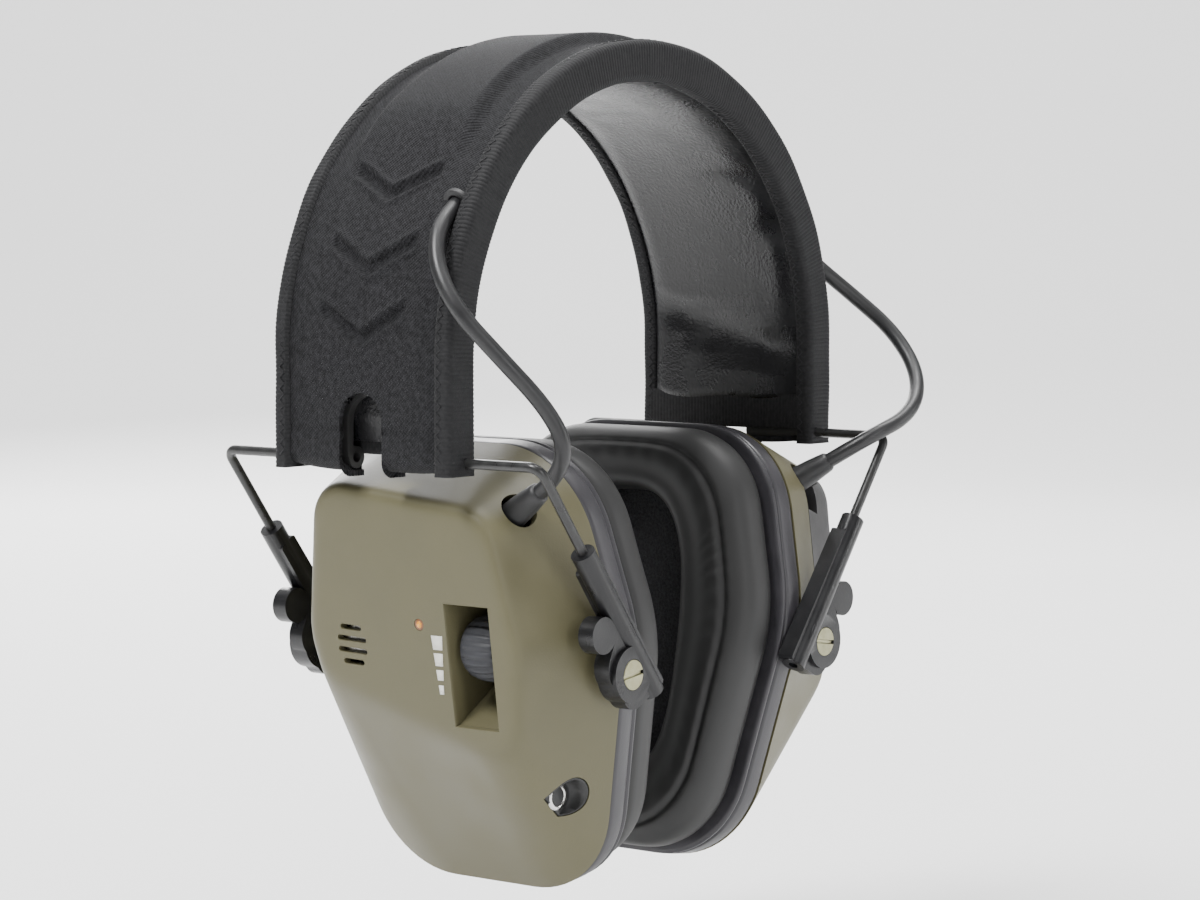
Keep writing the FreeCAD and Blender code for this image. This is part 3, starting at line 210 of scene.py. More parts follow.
def carve(thing: bpy.types.Object, tool: bpy.types.Object, way: str) -> bpy.types.Object:
    """Apply one boolean with a tool that is then thrown away.

    The quick solver is tried first.  Where the result loses the piece or leaves it as it was,
    the other solver makes the cut again, with the tool moved a few thousandths of a millimetre.

    Args:
        thing: the closed mesh to change.
        tool: the other closed mesh.
        way: DIFFERENCE, UNION or INTERSECT.

    Returns:
        The changed object.
    """
    whole = thing.data.copy()
    for step in range(4):
        change = thing.modifiers.new("carve", "BOOLEAN")
        change.operation = way
        change.solver = "MANIFOLD" if step == 0 else "EXACT"
        change.object = tool
        settle(thing)
        count = len(thing.data.vertices)
        changed = count != len(whole.vertices)
        if changed and (way == "INTERSECT" or count > 0.3 * len(whole.vertices)):
            break
        log.info("%s: cut %s made again", thing.name, tool.name)
        thing.data = whole.copy()
        tool.data.transform(Matrix.Translation(Vector((7e-6, 5e-6, 6e-6)) * (step + 1)))
    bpy.data.objects.remove(tool)
    return thing


def bevel(thing: bpy.types.Object, width: float, segments: int = 2, angle: float = 35.0) -> None:
    """Round the sharp edges of an object with a live modifier."""
    edge = thing.modifiers.new("edges", "BEVEL")
    edge.width = width
    edge.segments = segments
    edge.limit_method = "ANGLE"
    edge.angle_limit = math.radians(angle)
    edge.harden_normals = False


def softened(node: str, width: float, segments: int = 2) -> bpy.types.Object:
    """A copy of a frame node with rounded edges, which stands for the node.

    Args:
        node: name of the node.
        width: size of the rounding.
        segments: steps in each rounding.

    Returns:
        The copy, riding on the node's body.
    """
    copy = bpy.data.objects.new(node + "_soft", frame["nodes"][node].data.copy())
    bpy.context.scene.collection.objects.link(copy)
    work = bmesh.new()
    work.from_mesh(copy.data)
    bmesh.ops.remove_doubles(work, verts=work.verts, dist=2e-6)
    bmesh.ops.dissolve_limit(work, angle_limit=math.radians(1.0), verts=work.verts,
                             edges=work.edges)
    work.to_mesh(copy.data)
    work.free()
    bevel(copy, width, segments)
    copy.data.polygons.foreach_set("use_smooth", np.ones(len(copy.data.polygons), bool))
    smooth_by_angle(copy, 40)
    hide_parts(node)
    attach(copy, body_of(node))
    return copy


def smooth_by_angle(thing: bpy.types.Object, degrees: float) -> None:
    """Mark edges sharper than an angle, so that flat faces stay flat."""
    work = bmesh.new()
    work.from_mesh(thing.data)
    limit = math.radians(degrees)
    for edge in work.edges:
        edge.smooth = len(edge.link_faces) != 2 or edge.calc_face_angle(0.0) < limit
    work.to_mesh(thing.data)
    work.free()


def body_of(node: str) -> str:
    """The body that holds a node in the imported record."""
    bodies = frame["record"]["behaviour"]["bodies"]
    return next(body for body, nodes in bodies.items() if node in nodes)


def smooth_step(low: float, high: float, value: Array) -> Array:
    """Zero below low, one above high, and an even S between them: 3t squared less 2t cubed."""
    share = np.clip((value - low) / (high - low), 0.0, 1.0)
    return share * share * (3.0 - 2.0 * share)


def ripple(first: Array, second: Array, seed: int, waves: int = 9, low: float = 20.0,
           high: float = 90.0) -> Array:
    """Even, seeded noise: a sum of sine waves of random direction, length and phase.

    Args:
        first: one coordinate of each point.
        second: the other coordinate.
        seed: number that fixes the waves.
        waves: how many waves are added.
        low: smallest wave number, in radians for each unit of length.
        high: largest wave number.

    Returns:
        Heights of about -1 to 1, in the shape of the coordinates.
    """
    rng = np.random.default_rng(seed)
    total = np.zeros(np.broadcast(first, second).shape)
    for _ in range(waves):
        number = rng.uniform(low, high)
        turn = rng.uniform(0, math.tau)
        phase = rng.uniform(0, math.tau)
        total += np.sin(number * (first * math.cos(turn) + second * math.sin(turn)) + phase)
    return total / math.sqrt(waves)


def soften_rows(grid: Array, passes: int) -> Array:
    """Average each row with its neighbours, a quarter of each, so that creases turn round."""
    grid = grid.copy()
    for _ in range(passes):
        grid[1:-1] = (grid[:-2] + 2 * grid[1:-1] + grid[2:]) / 4
    return grid


# ---------------------------------------------------------------- finishes


def new_group(name: str, inputs: dict[str, tuple[str, object]],
              outputs: dict[str, str]) -> bpy.types.NodeTree:
    """An empty shader group with named sockets.

    Args:
        name: the group's name.
        inputs: socket name to its kind and default value.
        outputs: socket name to its kind.

    Returns:
        The group, with one input node called "in" and one output node called "out".
    """
    tree = bpy.data.node_groups.new(name, "ShaderNodeTree")
    for label, (kind, start) in inputs.items():
        socket = tree.interface.new_socket(name=label, in_out="INPUT", socket_type=kind)
        socket.default_value = start
    for label, kind in outputs.items():
        tree.interface.new_socket(name=label, in_out="OUTPUT", socket_type=kind)
    tree.nodes.new("NodeGroupInput").name = "in"
    tree.nodes.new("NodeGroupOutput").name = "out"
    return tree


NUMBER, COLOUR, VECTOR = "NodeSocketFloat", "NodeSocketColor", "NodeSocketVector"


class Effects:
    """Shader groups that several finishes share, each built once."""

    def __init__(self) -> None:
        """Start with no group built."""
        self.built: dict[str, bpy.types.NodeTree] = {}

    def get(self, name: str) -> bpy.types.NodeTree:
        """The group of that name, built the first time it is asked for."""
        if name not in self.built:
            self.built[name] = getattr(self, "make_" + name)()
        return self.built[name]

    def make_mottle(self) -> bpy.types.NodeTree:
        """Two tones mixed by soft noise: colour = dark + (light - dark) times the noise."""
        tree = new_group("mottle", {"Scale": (NUMBER, 200.0), "Dark": (COLOUR, (0, 0, 0, 1)),
                                    "Light": (COLOUR, (1, 1, 1, 1)), "Vector": (VECTOR, (0, 0, 0))},
                         {"Color": COLOUR, "Value": NUMBER})
        nodes, links = tree.nodes, tree.links
        noise = nodes.new("ShaderNodeTexNoise")
        noise.inputs["Detail"].default_value = 4.0
        mix = nodes.new("ShaderNodeMix")
        mix.data_type = "RGBA"
        ramp = nodes.new("ShaderNodeMapRange")
        ramp.inputs["From Min"].default_value = 0.33
        ramp.inputs["From Max"].default_value = 0.67
        links.new(nodes["in"].outputs["Vector"], noise.inputs["Vector"])
        links.new(nodes["in"].outputs["Scale"], noise.inputs["Scale"])
        links.new(noise.outputs["Fac"], ramp.inputs["Value"])
        links.new(ramp.outputs["Result"], mix.inputs["Factor"])
        links.new(nodes["in"].outputs["Dark"], mix.inputs["A"])
        links.new(nodes["in"].outputs["Light"], mix.inputs["B"])
        links.new(mix.outputs["Result"], nodes["out"].inputs["Color"])
        links.new(ramp.outputs["Result"], nodes["out"].inputs["Value"])
        return tree

    def make_grain(self) -> bpy.types.NodeTree:
        """Fine moulded texture: height = noise plus a finer noise at a third of its strength."""
        tree = new_group("grain", {"Scale": (NUMBER, 900.0), "Vector": (VECTOR, (0, 0, 0))},
                         {"Height": NUMBER})
        nodes, links = tree.nodes, tree.links
        coarse = nodes.new("ShaderNodeTexNoise")
        fine = nodes.new("ShaderNodeTexNoise")
        fine.inputs["Detail"].default_value = 6.0
        faster = nodes.new("ShaderNodeMath")
        faster.operation = "MULTIPLY"
        faster.inputs[1].default_value = 3.1
        add = nodes.new("ShaderNodeMath")
        add.operation = "MULTIPLY_ADD"
        add.inputs[1].default_value = 0.33
        links.new(nodes["in"].outputs["Vector"], coarse.inputs["Vector"])
        links.new(nodes["in"].outputs["Vector"], fine.inputs["Vector"])
        links.new(nodes["in"].outputs["Scale"], coarse.inputs["Scale"])
        links.new(nodes["in"].outputs["Scale"], faster.inputs[0])
        links.new(faster.outputs[0], fine.inputs["Scale"])
        links.new(fine.outputs["Fac"], add.inputs[0])
        links.new(coarse.outputs["Fac"], add.inputs[2])
        links.new(add.outputs[0], nodes["out"].inputs["Height"])
        return tree

    def make_weave(self) -> bpy.types.NodeTree:
        """Plain weave: the sine of one coordinate times the sine of the other, made smooth."""
        tree = new_group("weave", {"Pitch": (NUMBER, 0.0007), "Vector": (VECTOR, (0, 0, 0))},
                         {"Height": NUMBER})
        nodes, links = tree.nodes, tree.links
        split = nodes.new("ShaderNodeSeparateXYZ")
        links.new(nodes["in"].outputs["Vector"], split.inputs[0])
        number = nodes.new("ShaderNodeMath")
        number.operation = "DIVIDE"
        number.inputs[0].default_value = math.tau
        links.new(nodes["in"].outputs["Pitch"], number.inputs[1])
        waves = []
        for axis in ("X", "Y"):
            scaled = nodes.new("ShaderNodeMath")
            scaled.operation = "MULTIPLY"
            links.new(split.outputs[axis], scaled.inputs[0])
            links.new(number.outputs[0], scaled.inputs[1])
            wave = nodes.new("ShaderNodeMath")
            wave.operation = "SINE"
            links.new(scaled.outputs[0], wave.inputs[0])
            waves.append(wave)
        product = nodes.new("ShaderNodeMath")
        product.operation = "MULTIPLY"
        links.new(waves[0].outputs[0], product.inputs[0])
        links.new(waves[1].outputs[0], product.inputs[1])
        links.new(product.outputs[0], nodes["out"].inputs["Height"])
        return tree

    def make_wear(self) -> bpy.types.NodeTree:
        """Lighter tone where edges are rubbed: pointiness above a threshold, broken by noise."""
        tree = new_group("wear", {"Base": (COLOUR, (0, 0, 0, 1)), "Worn": (COLOUR, (1, 1, 1, 1)),
                                  "Amount": (NUMBER, 0.5), "Vector": (VECTOR, (0, 0, 0))},
                         {"Color": COLOUR})
        nodes, links = tree.nodes, tree.links
        shape = nodes.new("ShaderNodeNewGeometry")
        edge = nodes.new("ShaderNodeMapRange")
        edge.inputs["From Min"].default_value = 0.53
        edge.inputs["From Max"].default_value = 0.62
        noise = nodes.new("ShaderNodeTexNoise")
        noise.inputs["Scale"].default_value = 260.0
        both = nodes.new("ShaderNodeMath")
        both.operation = "MULTIPLY"
        scaled = nodes.new("ShaderNodeMath")
        scaled.operation = "MULTIPLY"
        mix = nodes.new("ShaderNodeMix")
        mix.data_type = "RGBA"
        links.new(nodes["in"].outputs["Vector"], noise.inputs["Vector"])
        links.new(shape.outputs["Pointiness"], edge.inputs["Value"])
        links.new(edge.outputs["Result"], both.inputs[0])
        links.new(noise.outputs["Fac"], both.inputs[1])
        links.new(both.outputs[0], scaled.inputs[0])
        links.new(nodes["in"].outputs["Amount"], scaled.inputs[1])
        links.new(scaled.outputs[0], mix.inputs["Factor"])
        links.new(nodes["in"].outputs["Base"], mix.inputs["A"])
        links.new(nodes["in"].outputs["Worn"], mix.inputs["B"])
        links.new(mix.outputs["Result"], nodes["out"].inputs["Color"])
        return tree


EFFECTS = Effects()


@dataclass(frozen=True)
class Finish:
    """A surface: two tones, gloss, and how fine its relief is.

    `weave` is the pitch of a weave on the piece's own UV map; zero leaves it out.  `relief` is
    the depth of the moulded grain, in metres.
    """

    name: str
    dark: tuple[float, float, float]
    light: tuple[float, float, float]
    roughness: float = 0.5
    metallic: float = 0.0
    mottle_scale: float = 150.0
    grain_scale: float = 1500.0
    relief: float = 0.00004
    weave: float = 0.0
    weave_depth: float = 0.0001
    wear: float = 0.0
    coat: float = 0.0
    sheen: float = 0.0
    specular: float = 0.5
    rough_swing: float = 0.06

    def build(self) -> bpy.types.Material:
        """The node material of this finish, built once."""
        found = bpy.data.materials.get(self.name)
        if found is not None:
            return found
        material = bpy.data.materials.new(self.name)
        material.use_nodes = True
        nodes, links = material.node_tree.nodes, material.node_tree.links
        shader = nodes["Principled BSDF"]
        shader.inputs["Metallic"].default_value = self.metallic
        shader.inputs["Coat Weight"].default_value = self.coat
        shader.inputs["Coat Roughness"].default_value = 0.12
        shader.inputs["Sheen Weight"].default_value = self.sheen
        shader.inputs["Sheen Roughness"].default_value = 0.4
        shader.inputs["Specular IOR Level"].default_value = self.specular
        place = nodes.new("ShaderNodeTexCoord")
        mottle = self.group(nodes, "mottle")
        mottle.inputs["Scale"].default_value = self.mottle_scale
        mottle.inputs["Dark"].default_value = (*self.dark, 1)
        mottle.inputs["Light"].default_value = (*self.light, 1)
        links.new(place.outputs["Object"], mottle.inputs["Vector"])
        colour = mottle.outputs["Color"]
        if self.wear:
            wear = self.group(nodes, "wear")
            wear.inputs["Worn"].default_value = (*(min(1.0, 2.2 * c + 0.03) for c in self.light), 1)
            wear.inputs["Amount"].default_value = self.wear
            links.new(place.outputs["Object"], wear.inputs["Vector"])
            links.new(colour, wear.inputs["Base"])
            colour = wear.outputs["Color"]
        links.new(colour, shader.inputs["Base Color"])
        rough = nodes.new("ShaderNodeMapRange")
        rough.inputs["To Min"].default_value = max(0.02, self.roughness - self.rough_swing)
        rough.inputs["To Max"].default_value = min(1.0, self.roughness + self.rough_swing)
        links.new(mottle.outputs["Value"], rough.inputs["Value"])
        links.new(rough.outputs["Result"], shader.inputs["Roughness"])
        grain = self.group(nodes, "grain")
        grain.inputs["Scale"].default_value = self.grain_scale
        links.new(place.outputs["Object"], grain.inputs["Vector"])
        bump = nodes.new("ShaderNodeBump")
        bump.inputs["Distance"].default_value = self.relief
        links.new(grain.outputs["Height"], bump.inputs["Height"])
        if self.weave:
            weave = self.group(nodes, "weave")
            weave.inputs["Pitch"].default_value = self.weave
            links.new(place.outputs["UV"], weave.inputs["Vector"])
            threads = nodes.new("ShaderNodeBump")
            threads.inputs["Distance"].default_value = self.weave_depth
            links.new(weave.outputs["Height"], threads.inputs["Height"])
            links.new(bump.outputs["Normal"], threads.inputs["Normal"])
            bump = threads
        links.new(bump.outputs["Normal"], shader.inputs["Normal"])
        return material

    @staticmethod
    def group(nodes: bpy.types.Nodes, name: str) -> bpy.types.Node:
        """A shared effect placed among a material's nodes."""
        node = nodes.new("ShaderNodeGroup")
        node.node_tree = EFFECTS.get(name)
        return node

    def dress(self, *things: bpy.types.Object) -> None:
        """Give this finish to objects as their only material."""
        for thing in things:
            thing.data.materials.clear()
            thing.data.materials.append(self.build())

    def dress_nodes(self, *names: str) -> None:
        """Give this finish to frame nodes by name."""
        for name in names:
            node = frame["nodes"][name]
            for slot in node.material_slots:
                slot.material = self.build()


def fit_out(thing: bpy.types.Object, finish: Finish, slot: str, body: str, *nodes: str) -> None:
    """Dress a piece, let it stand for nodes and ride on a body."""
    finish.dress(thing)
    if nodes:
        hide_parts(*nodes)
    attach(thing, body)


OLIVE = Finish("olive_moulding", (0.098, 0.090, 0.048), (0.108, 0.099, 0.054), 0.46,
               mottle_scale=60, grain_scale=2600, relief=0.00003, wear=0.12, specular=0.35)
DOOR_GREY = Finish("door_moulding", (0.020, 0.019, 0.020), (0.027, 0.026, 0.027), 0.45,
                   grain_scale=2600, relief=0.00003, wear=0.2, specular=0.4)
RING_GREY = Finish("ring_moulding", (0.030, 0.029, 0.033), (0.038, 0.036, 0.041), 0.38,
                   grain_scale=2200, relief=0.00002, wear=0.15, specular=0.4)
ARM_BLACK = Finish("arm_moulding", (0.006, 0.006, 0.007), (0.010, 0.010, 0.011), 0.33,
                   grain_scale=2400, relief=0.00003, wear=0.35, specular=0.4)
WIRE_BLACK = Finish("coated_wire", (0.012, 0.012, 0.012), (0.02, 0.02, 0.02), 0.33,
                    mottle_scale=400, wear=0.2)
COVER_CLOTH = Finish("cover_cloth", (0.005, 0.005, 0.006), (0.020, 0.020, 0.022), 0.8,
                     mottle_scale=900, grain_scale=2200, relief=0.00018, weave=0.0009,
                     weave_depth=0.00008, sheen=0.02, specular=0.2)
TAPE = Finish("woven_tape", (0.005, 0.005, 0.006), (0.016, 0.016, 0.017), 0.75,
              mottle_scale=1200, grain_scale=3000, relief=0.0001, sheen=0.02, specular=0.3)
THREAD = Finish("thread", (0.012, 0.012, 0.013), (0.026, 0.026, 0.028), 0.65,
                mottle_scale=1500, grain_scale=5000, relief=0.00006, specular=0.3)
LEATHERETTE = Finish("leatherette", (0.004, 0.004, 0.005), (0.009, 0.009, 0.010), 0.27,
                     mottle_scale=120, grain_scale=1300, relief=0.00012, specular=0.4)
VINYL = Finish("cushion_vinyl", (0.002, 0.002, 0.002), (0.004, 0.004, 0.004), 0.1,
               mottle_scale=90, grain_scale=700, relief=0.00003, specular=0.4,
               rough_swing=0.03)
FOAM = Finish("open_foam", (0.014, 0.014, 0.016), (0.04, 0.04, 0.043), 0.95, mottle_scale=1800,
              grain_scale=1500, relief=0.0005)
RUBBER = Finish("rubber", (0.012, 0.012, 0.013), (0.02, 0.02, 0.021), 0.5, grain_scale=3000,
                relief=0.00003)
CABLE = Finish("cable_jacket", (0.009, 0.009, 0.010), (0.014, 0.014, 0.015), 0.42,
               grain_scale=3000, relief=0.00002)
WHEEL = Finish("wheel_rubber", (0.016, 0.017, 0.021), (0.028, 0.029, 0.035), 0.6,
               grain_scale=2600, relief=0.00006)
BRASS = Finish("screw_plating", (0.28, 0.27, 0.16), (0.36, 0.35, 0.23), 0.38, metallic=0.85,
               mottle_scale=500, wear=0.3)
ZINC = Finish("zinc", (0.45, 0.45, 0.44), (0.6, 0.6, 0.58), 0.35, metallic=1.0, mottle_scale=500)
NICKEL = Finish("nickel", (0.6, 0.59, 0.56), (0.72, 0.71, 0.69), 0.2, metallic=1.0,
                mottle_scale=600)
DARK_HOLE = Finish("socket_dark", (0.004, 0.004, 0.004), (0.008, 0.008, 0.008), 0.6)
PRINT_WHITE = Finish("printed_white", (0.68, 0.67, 0.6), (0.76, 0.75, 0.7), 0.6)
AMBER = Finish("amber_lens", (0.55, 0.2, 0.02), (0.8, 0.36, 0.04), 0.25, mottle_scale=900)
AMBER_RING = Finish("lamp_bezel", (0.16, 0.07, 0.03), (0.24, 0.1, 0.04), 0.4)
BOARD = Finish("solder_mask", (0.015, 0.09, 0.035), (0.02, 0.13, 0.05), 0.35, mottle_scale=300)
BLACK_PLASTIC = Finish("plain_black", (0.016, 0.016, 0.016), (0.022, 0.022, 0.022), 0.55)
CELL = Finish("cell_wrap", (0.06, 0.06, 0.07), (0.08, 0.08, 0.09), 0.3, coat=0.3)
SPRING = Finish("spring_strip", (0.3, 0.3, 0.31), (0.4, 0.4, 0.4), 0.35, metallic=1.0)


# ---------------------------------------------------------------- headband


@dataclass
class Headband:
    """Padded arch: woven cover, two bound edges, soft inner pad and sewn ends."""

    radius: float = 70.0 * MM
    inner_radius: float = 61.7 * MM
    centre: float = 67.0 * MM - SEAT
    foot: float = 43.3 * MM - SEAT
    half_panel: float = 22.2 * MM
    half_width: float = 25.5 * MM
    panel_rise: float = 2.6 * MM
    chevron_heights: tuple[float, ...] = (105.0 * MM, 90.0 * MM, 72.5 * MM)
    seam_line: float = 22.6 * MM
    rib_pitch: float = 0.95 * MM

    @property
    def half_run(self) -> float:
        """Length of the outer face from the crown to one end."""
        return self.radius * math.pi / 2 + self.centre - self.foot

    def place(self, run: Array, across: Array, radius: Array | float) -> Array:
        """Points on the arch.

        Around the crown the angle is the run over the outer radius; past the springing the
        run goes straight down.

        Args:
            run: signed length from the crown along the outer face.
            across: the Y coordinate.
            radius: distance from the arch's centre line, or from the middle plane on the legs.

        Returns:
            An array of points with the shape of the inputs and three more entries.
        """
        quarter = self.radius * math.pi / 2
        run, across, radius = np.broadcast_arrays(run, across, radius)
        angle = math.pi / 2 - np.clip(run, -quarter, quarter) / self.radius
        drop = np.maximum(np.abs(run) - quarter, 0.0)
        x = radius * np.cos(angle)
        z = self.centre + radius * np.sin(angle) - drop
        return np.stack([x, across, z], axis=-1)

    def notch_distance(self, run: Array, across: Array) -> Array:
        """Signed distance to the end notches: a slot with a half-round top, negative inside."""
        half, height = 6.0 * MM, 17.0 * MM
        above = self.half_run - np.abs(run)
        return np.where(above < height - half, np.abs(across) - half,
                        np.hypot(across, above - (height - half)) - half)

    def cover_relief(self, run: Array, across: Array) -> Array:
        """Height of the cover's outer face over the plain arch.

        A raised panel runs over the crown and fades above the chevrons; each chevron is a
        sunk V with a lip; the whole face is slightly crowned and gently uneven.
        """
        side = np.abs(across)
        reach = np.abs(run)
        width = 13.0 * MM + 3.0 * MM * smooth_step(30 * MM, 66 * MM, reach)
        panel = self.panel_rise * (1 - smooth_step(width - 2.2 * MM, width + 1.2 * MM, side))
        panel = panel * (1 - smooth_step(48 * MM, 70 * MM, reach))
        crown = -0.9 * MM * (side / self.half_panel) ** 4
        relief = panel + crown
        for height in self.chevron_heights:
            line = reach - (height - 0.55 * side)
            inside = 1 - smooth_step(11.0 * MM, 12.6 * MM, side)
            groove = np.exp(-((line / (1.5 * MM)) ** 4))
            lip = np.exp(-(((np.abs(line) - 2.3 * MM) / (0.8 * MM)) ** 2))
            relief = relief + inside * (0.45 * MM * lip - 0.95 * MM * groove)
        fold = np.exp(-(((self.half_run - reach - 8.5 * MM) / (0.8 * MM)) ** 2))
        relief = relief - 0.5 * MM * fold
        return relief + 0.16 * MM * ripple(run, across, 3, low=60, high=260)

    def build_cover(self) -> None:
        """Outer cover, turned in under both ends, with the notches cut out."""
        turn = 3.6 * MM
        under = turn * math.pi / 2 + 4.2 * MM
        reach = self.half_run - turn + under
        run = np.linspace(-reach, reach, 620)[:, None]
        across = np.linspace(-self.half_panel, self.half_panel, 101)[None, :]
        run, across = (a.copy() for a in np.broadcast_arrays(run, across))
        distance = self.notch_distance(run, across)
        cell = 0.5 * MM
        near = np.abs(distance) < cell
        step = 1e-6
        slope_run = (self.notch_distance(run + step, across) - distance) / step
        slope_across = (self.notch_distance(run, across + step) - distance) / step
        run = np.where(near, run - distance * slope_run, run)
        across = np.where(near, across - distance * slope_across, across)
        relief = self.cover_relief(run, across)
        flat = self.place(run, across, self.radius + relief)
        past = np.abs(run) - (self.half_run - turn)
        angle = np.clip(past / turn, 0, math.pi / 2)
        inward = np.maximum(past - turn * math.pi / 2, 0)
        side = np.sign(run)
        rise = turn + relief
        curled = np.stack([side * (self.radius - turn + rise * np.cos(angle) - inward), across,
                           self.foot + turn - rise * np.sin(angle)], axis=-1)
        grid = np.where((past > 0)[..., None], curled, flat)
        rows, columns = grid.shape[:2]
        faces = grid_faces(rows, columns, False)
        inside = self.notch_distance(run, across).ravel() < -0.05 * MM
        faces = faces[~inside[faces].any(axis=1)]
        cover = mesh_object("cover", grid, faces)
        owner = np.zeros(len(cover.data.loops), int)
        cover.data.loops.foreach_get("vertex_index", owner)
        layer = cover.data.uv_layers.new(name="run")
        spots = np.stack([run.ravel()[owner], across.ravel()[owner]], axis=1)
        layer.data.foreach_set("uv", spots.ravel().astype(np.float32))
        self.turn_outward(cover)
        wall = cover.modifiers.new("wall", "SOLIDIFY")
        wall.thickness = 1.3 * MM
        wall.offset = -1.0
        fit_out(cover, COVER_CLOTH, "woven_cover", "headband", "band_cover")

    def turn_outward(self, thing: bpy.types.Object) -> None:
        """Turn a sheet's faces away from the arch's centre."""
        mesh = thing.data
        centres = np.zeros(len(mesh.polygons) * 3)
        normals = np.zeros(len(mesh.polygons) * 3)
        mesh.polygons.foreach_get("center", centres)
        mesh.polygons.foreach_get("normal", normals)
        away = centres.reshape(-1, 3) - np.array([0, 0, self.centre])
        away[:, 1] = 0
        if float((away * normals.reshape(-1, 3)).sum()) < 0:
            mesh.flip_normals()

    def build_pad(self) -> None:
        """Soft inner pad: puffed between its bound edges, with cross creases over the head."""
        end = self.half_run - 6.2 * MM
        run = np.linspace(-end, end, 520)[:, None]
        around = np.linspace(0, 1, 64, endpoint=False)[None, :]
        angle = around * math.tau
        half_wall, half = 1.75 * MM, 23.2 * MM
        across = half * np.sign(np.cos(angle)) * np.abs(np.cos(angle)) ** 0.35
        across = np.broadcast_to(across, (run.shape[0], angle.shape[1]))
        lift = np.sign(np.sin(angle)) * np.abs(np.sin(angle)) ** 0.5
        inner = np.sin(angle) < 0
        side = np.abs(across) / half
        puff = 1.7 * MM * (1 - side ** 4)
        crease = self.pad_creases(run, across) * (1 - side ** 6)
        middle = self.inner_radius + 2.0 * MM
        radius = middle + half_wall * lift + np.where(inner, -puff + crease, 0.0)
        taper = smooth_step(0, 6 * MM, end - np.abs(run))
        radius = middle + 0.6 * MM * lift + (radius - middle - 0.6 * MM * lift) * taper
        grid = self.place(run, across, np.maximum(radius, self.inner_radius - 0.9 * MM))
        pad = outward(grid_object("inner_pad", grid, True, caps=True))
        fit_out(pad, LEATHERETTE, "pad_leatherette", "headband", "band_pad")

    def pad_creases(self, run: Array, across: Array) -> Array:
        """Depth of the pad's creases: bent ridges across the band, closer at the crown."""
        bend = run + 0.35 * across + 2.5 * MM * np.sin(across * 130)
        waves = ripple(bend, across * 0.35, 11, waves=12, low=90, high=420)
        folds = np.clip(waves, 0, None) ** 1.6
        broad = ripple(run, across, 12, waves=6, low=40, high=120)
        fade = 0.35 + 0.65 * smooth_step(0.0, 60 * MM, np.abs(run))
        return (0.75 * MM * folds + 0.35 * MM * broad) * fade

    def build_bindings(self) -> None:
        """Ribbed tape folded round both long edges."""
        low, high = self.inner_radius - 0.45 * MM, self.radius + 0.45 * MM
        run = np.linspace(-self.half_run, self.half_run, 2300)[:, None]
        for facing in Facing:
            sign = -facing.value
            inner_edge, outer_edge, bend = 21.6 * MM, self.half_width, 1.7 * MM
            across, radius, push_a, push_r = self.tape_section(
                inner_edge, outer_edge, low, high, bend)
            rib = 0.14 * MM * np.abs(np.sin(run * math.pi / self.rib_pitch)) ** 0.7 - 0.07 * MM
            rib = rib + 0.12 * MM * ripple(run, np.zeros_like(run), 5 + facing.value, low=80,
                                           high=400)
            grid = self.place(run, sign * (across[None] + rib * push_a[None]),
                              radius[None] + rib * push_r[None])
            tape = outward(grid_object(facing.word + "_tape", grid, True, caps=True))
            fit_out(tape, TAPE, "binding", "headband", facing.word + "_binding")

    @staticmethod
    def tape_section(inner: float, outer: float, low: float, high: float,
                     bend: float) -> tuple[Array, Array, Array, Array]:
        """Closed outline of a folded tape: a rounded block and the way each point faces.

        Args:
            inner: edge nearer the middle of the band.
            outer: outermost edge.
            low: inner radius.
            high: outer radius.
            bend: radius of the two outer folds.

        Returns:
            Across and radius of each point, and the unit direction that it faces.
        """
        turn = np.linspace(0, math.pi / 2, 7)
        flat = np.linspace(0, 1, 6)
        top = np.stack([inner + (outer - bend - inner) * flat, np.full(6, high)], axis=1)
        fold = np.stack([outer - bend + bend * np.sin(turn), high - bend + bend * np.cos(turn)], 1)
        flank = np.stack([np.full(6, outer), high - bend + (low + 2 * bend - high) * flat], axis=1)
        under = np.stack([outer - bend + bend * np.cos(turn), low + bend - bend * np.sin(turn)], 1)
        base = np.stack([outer - bend + (inner - outer + bend) * flat, np.full(6, low)], axis=1)
        outline = np.concatenate([top, fold[1:], flank[1:], under[1:], base[1:]])
        tangent = np.gradient(outline, axis=0)
        normal = np.stack([-tangent[:, 1], tangent[:, 0]], axis=1)
        normal /= np.linalg.norm(normal, axis=1, keepdims=True)
        return outline[:, 0], outline[:, 1], normal[:, 0], normal[:, 1]

    def build_stitches(self) -> None:
        """Zigzag seams along both bindings, outside and inside."""
        pitch, half = 2.4 * MM, 0.65 * MM
        count = int(2 * (self.half_run - 2 * MM) / (pitch / 2))
        run = (np.arange(count) - (count - 1) / 2) * pitch / 2
        swing = half * (-1.0) ** np.arange(count)
        for facing in Facing:
            for name, radius in (("outer", self.radius + 0.5 * MM),
                                 ("inner", self.inner_radius - 0.5 * MM)):
                across = -facing.value * (self.seam_line + swing)
                line = self.place(run, across, np.full(count, radius))
                thread = ribbon_tube(f"{facing.word}_{name}_seam", line, 0.16 * MM)
                fit_out(thread, THREAD, "binding", "headband")

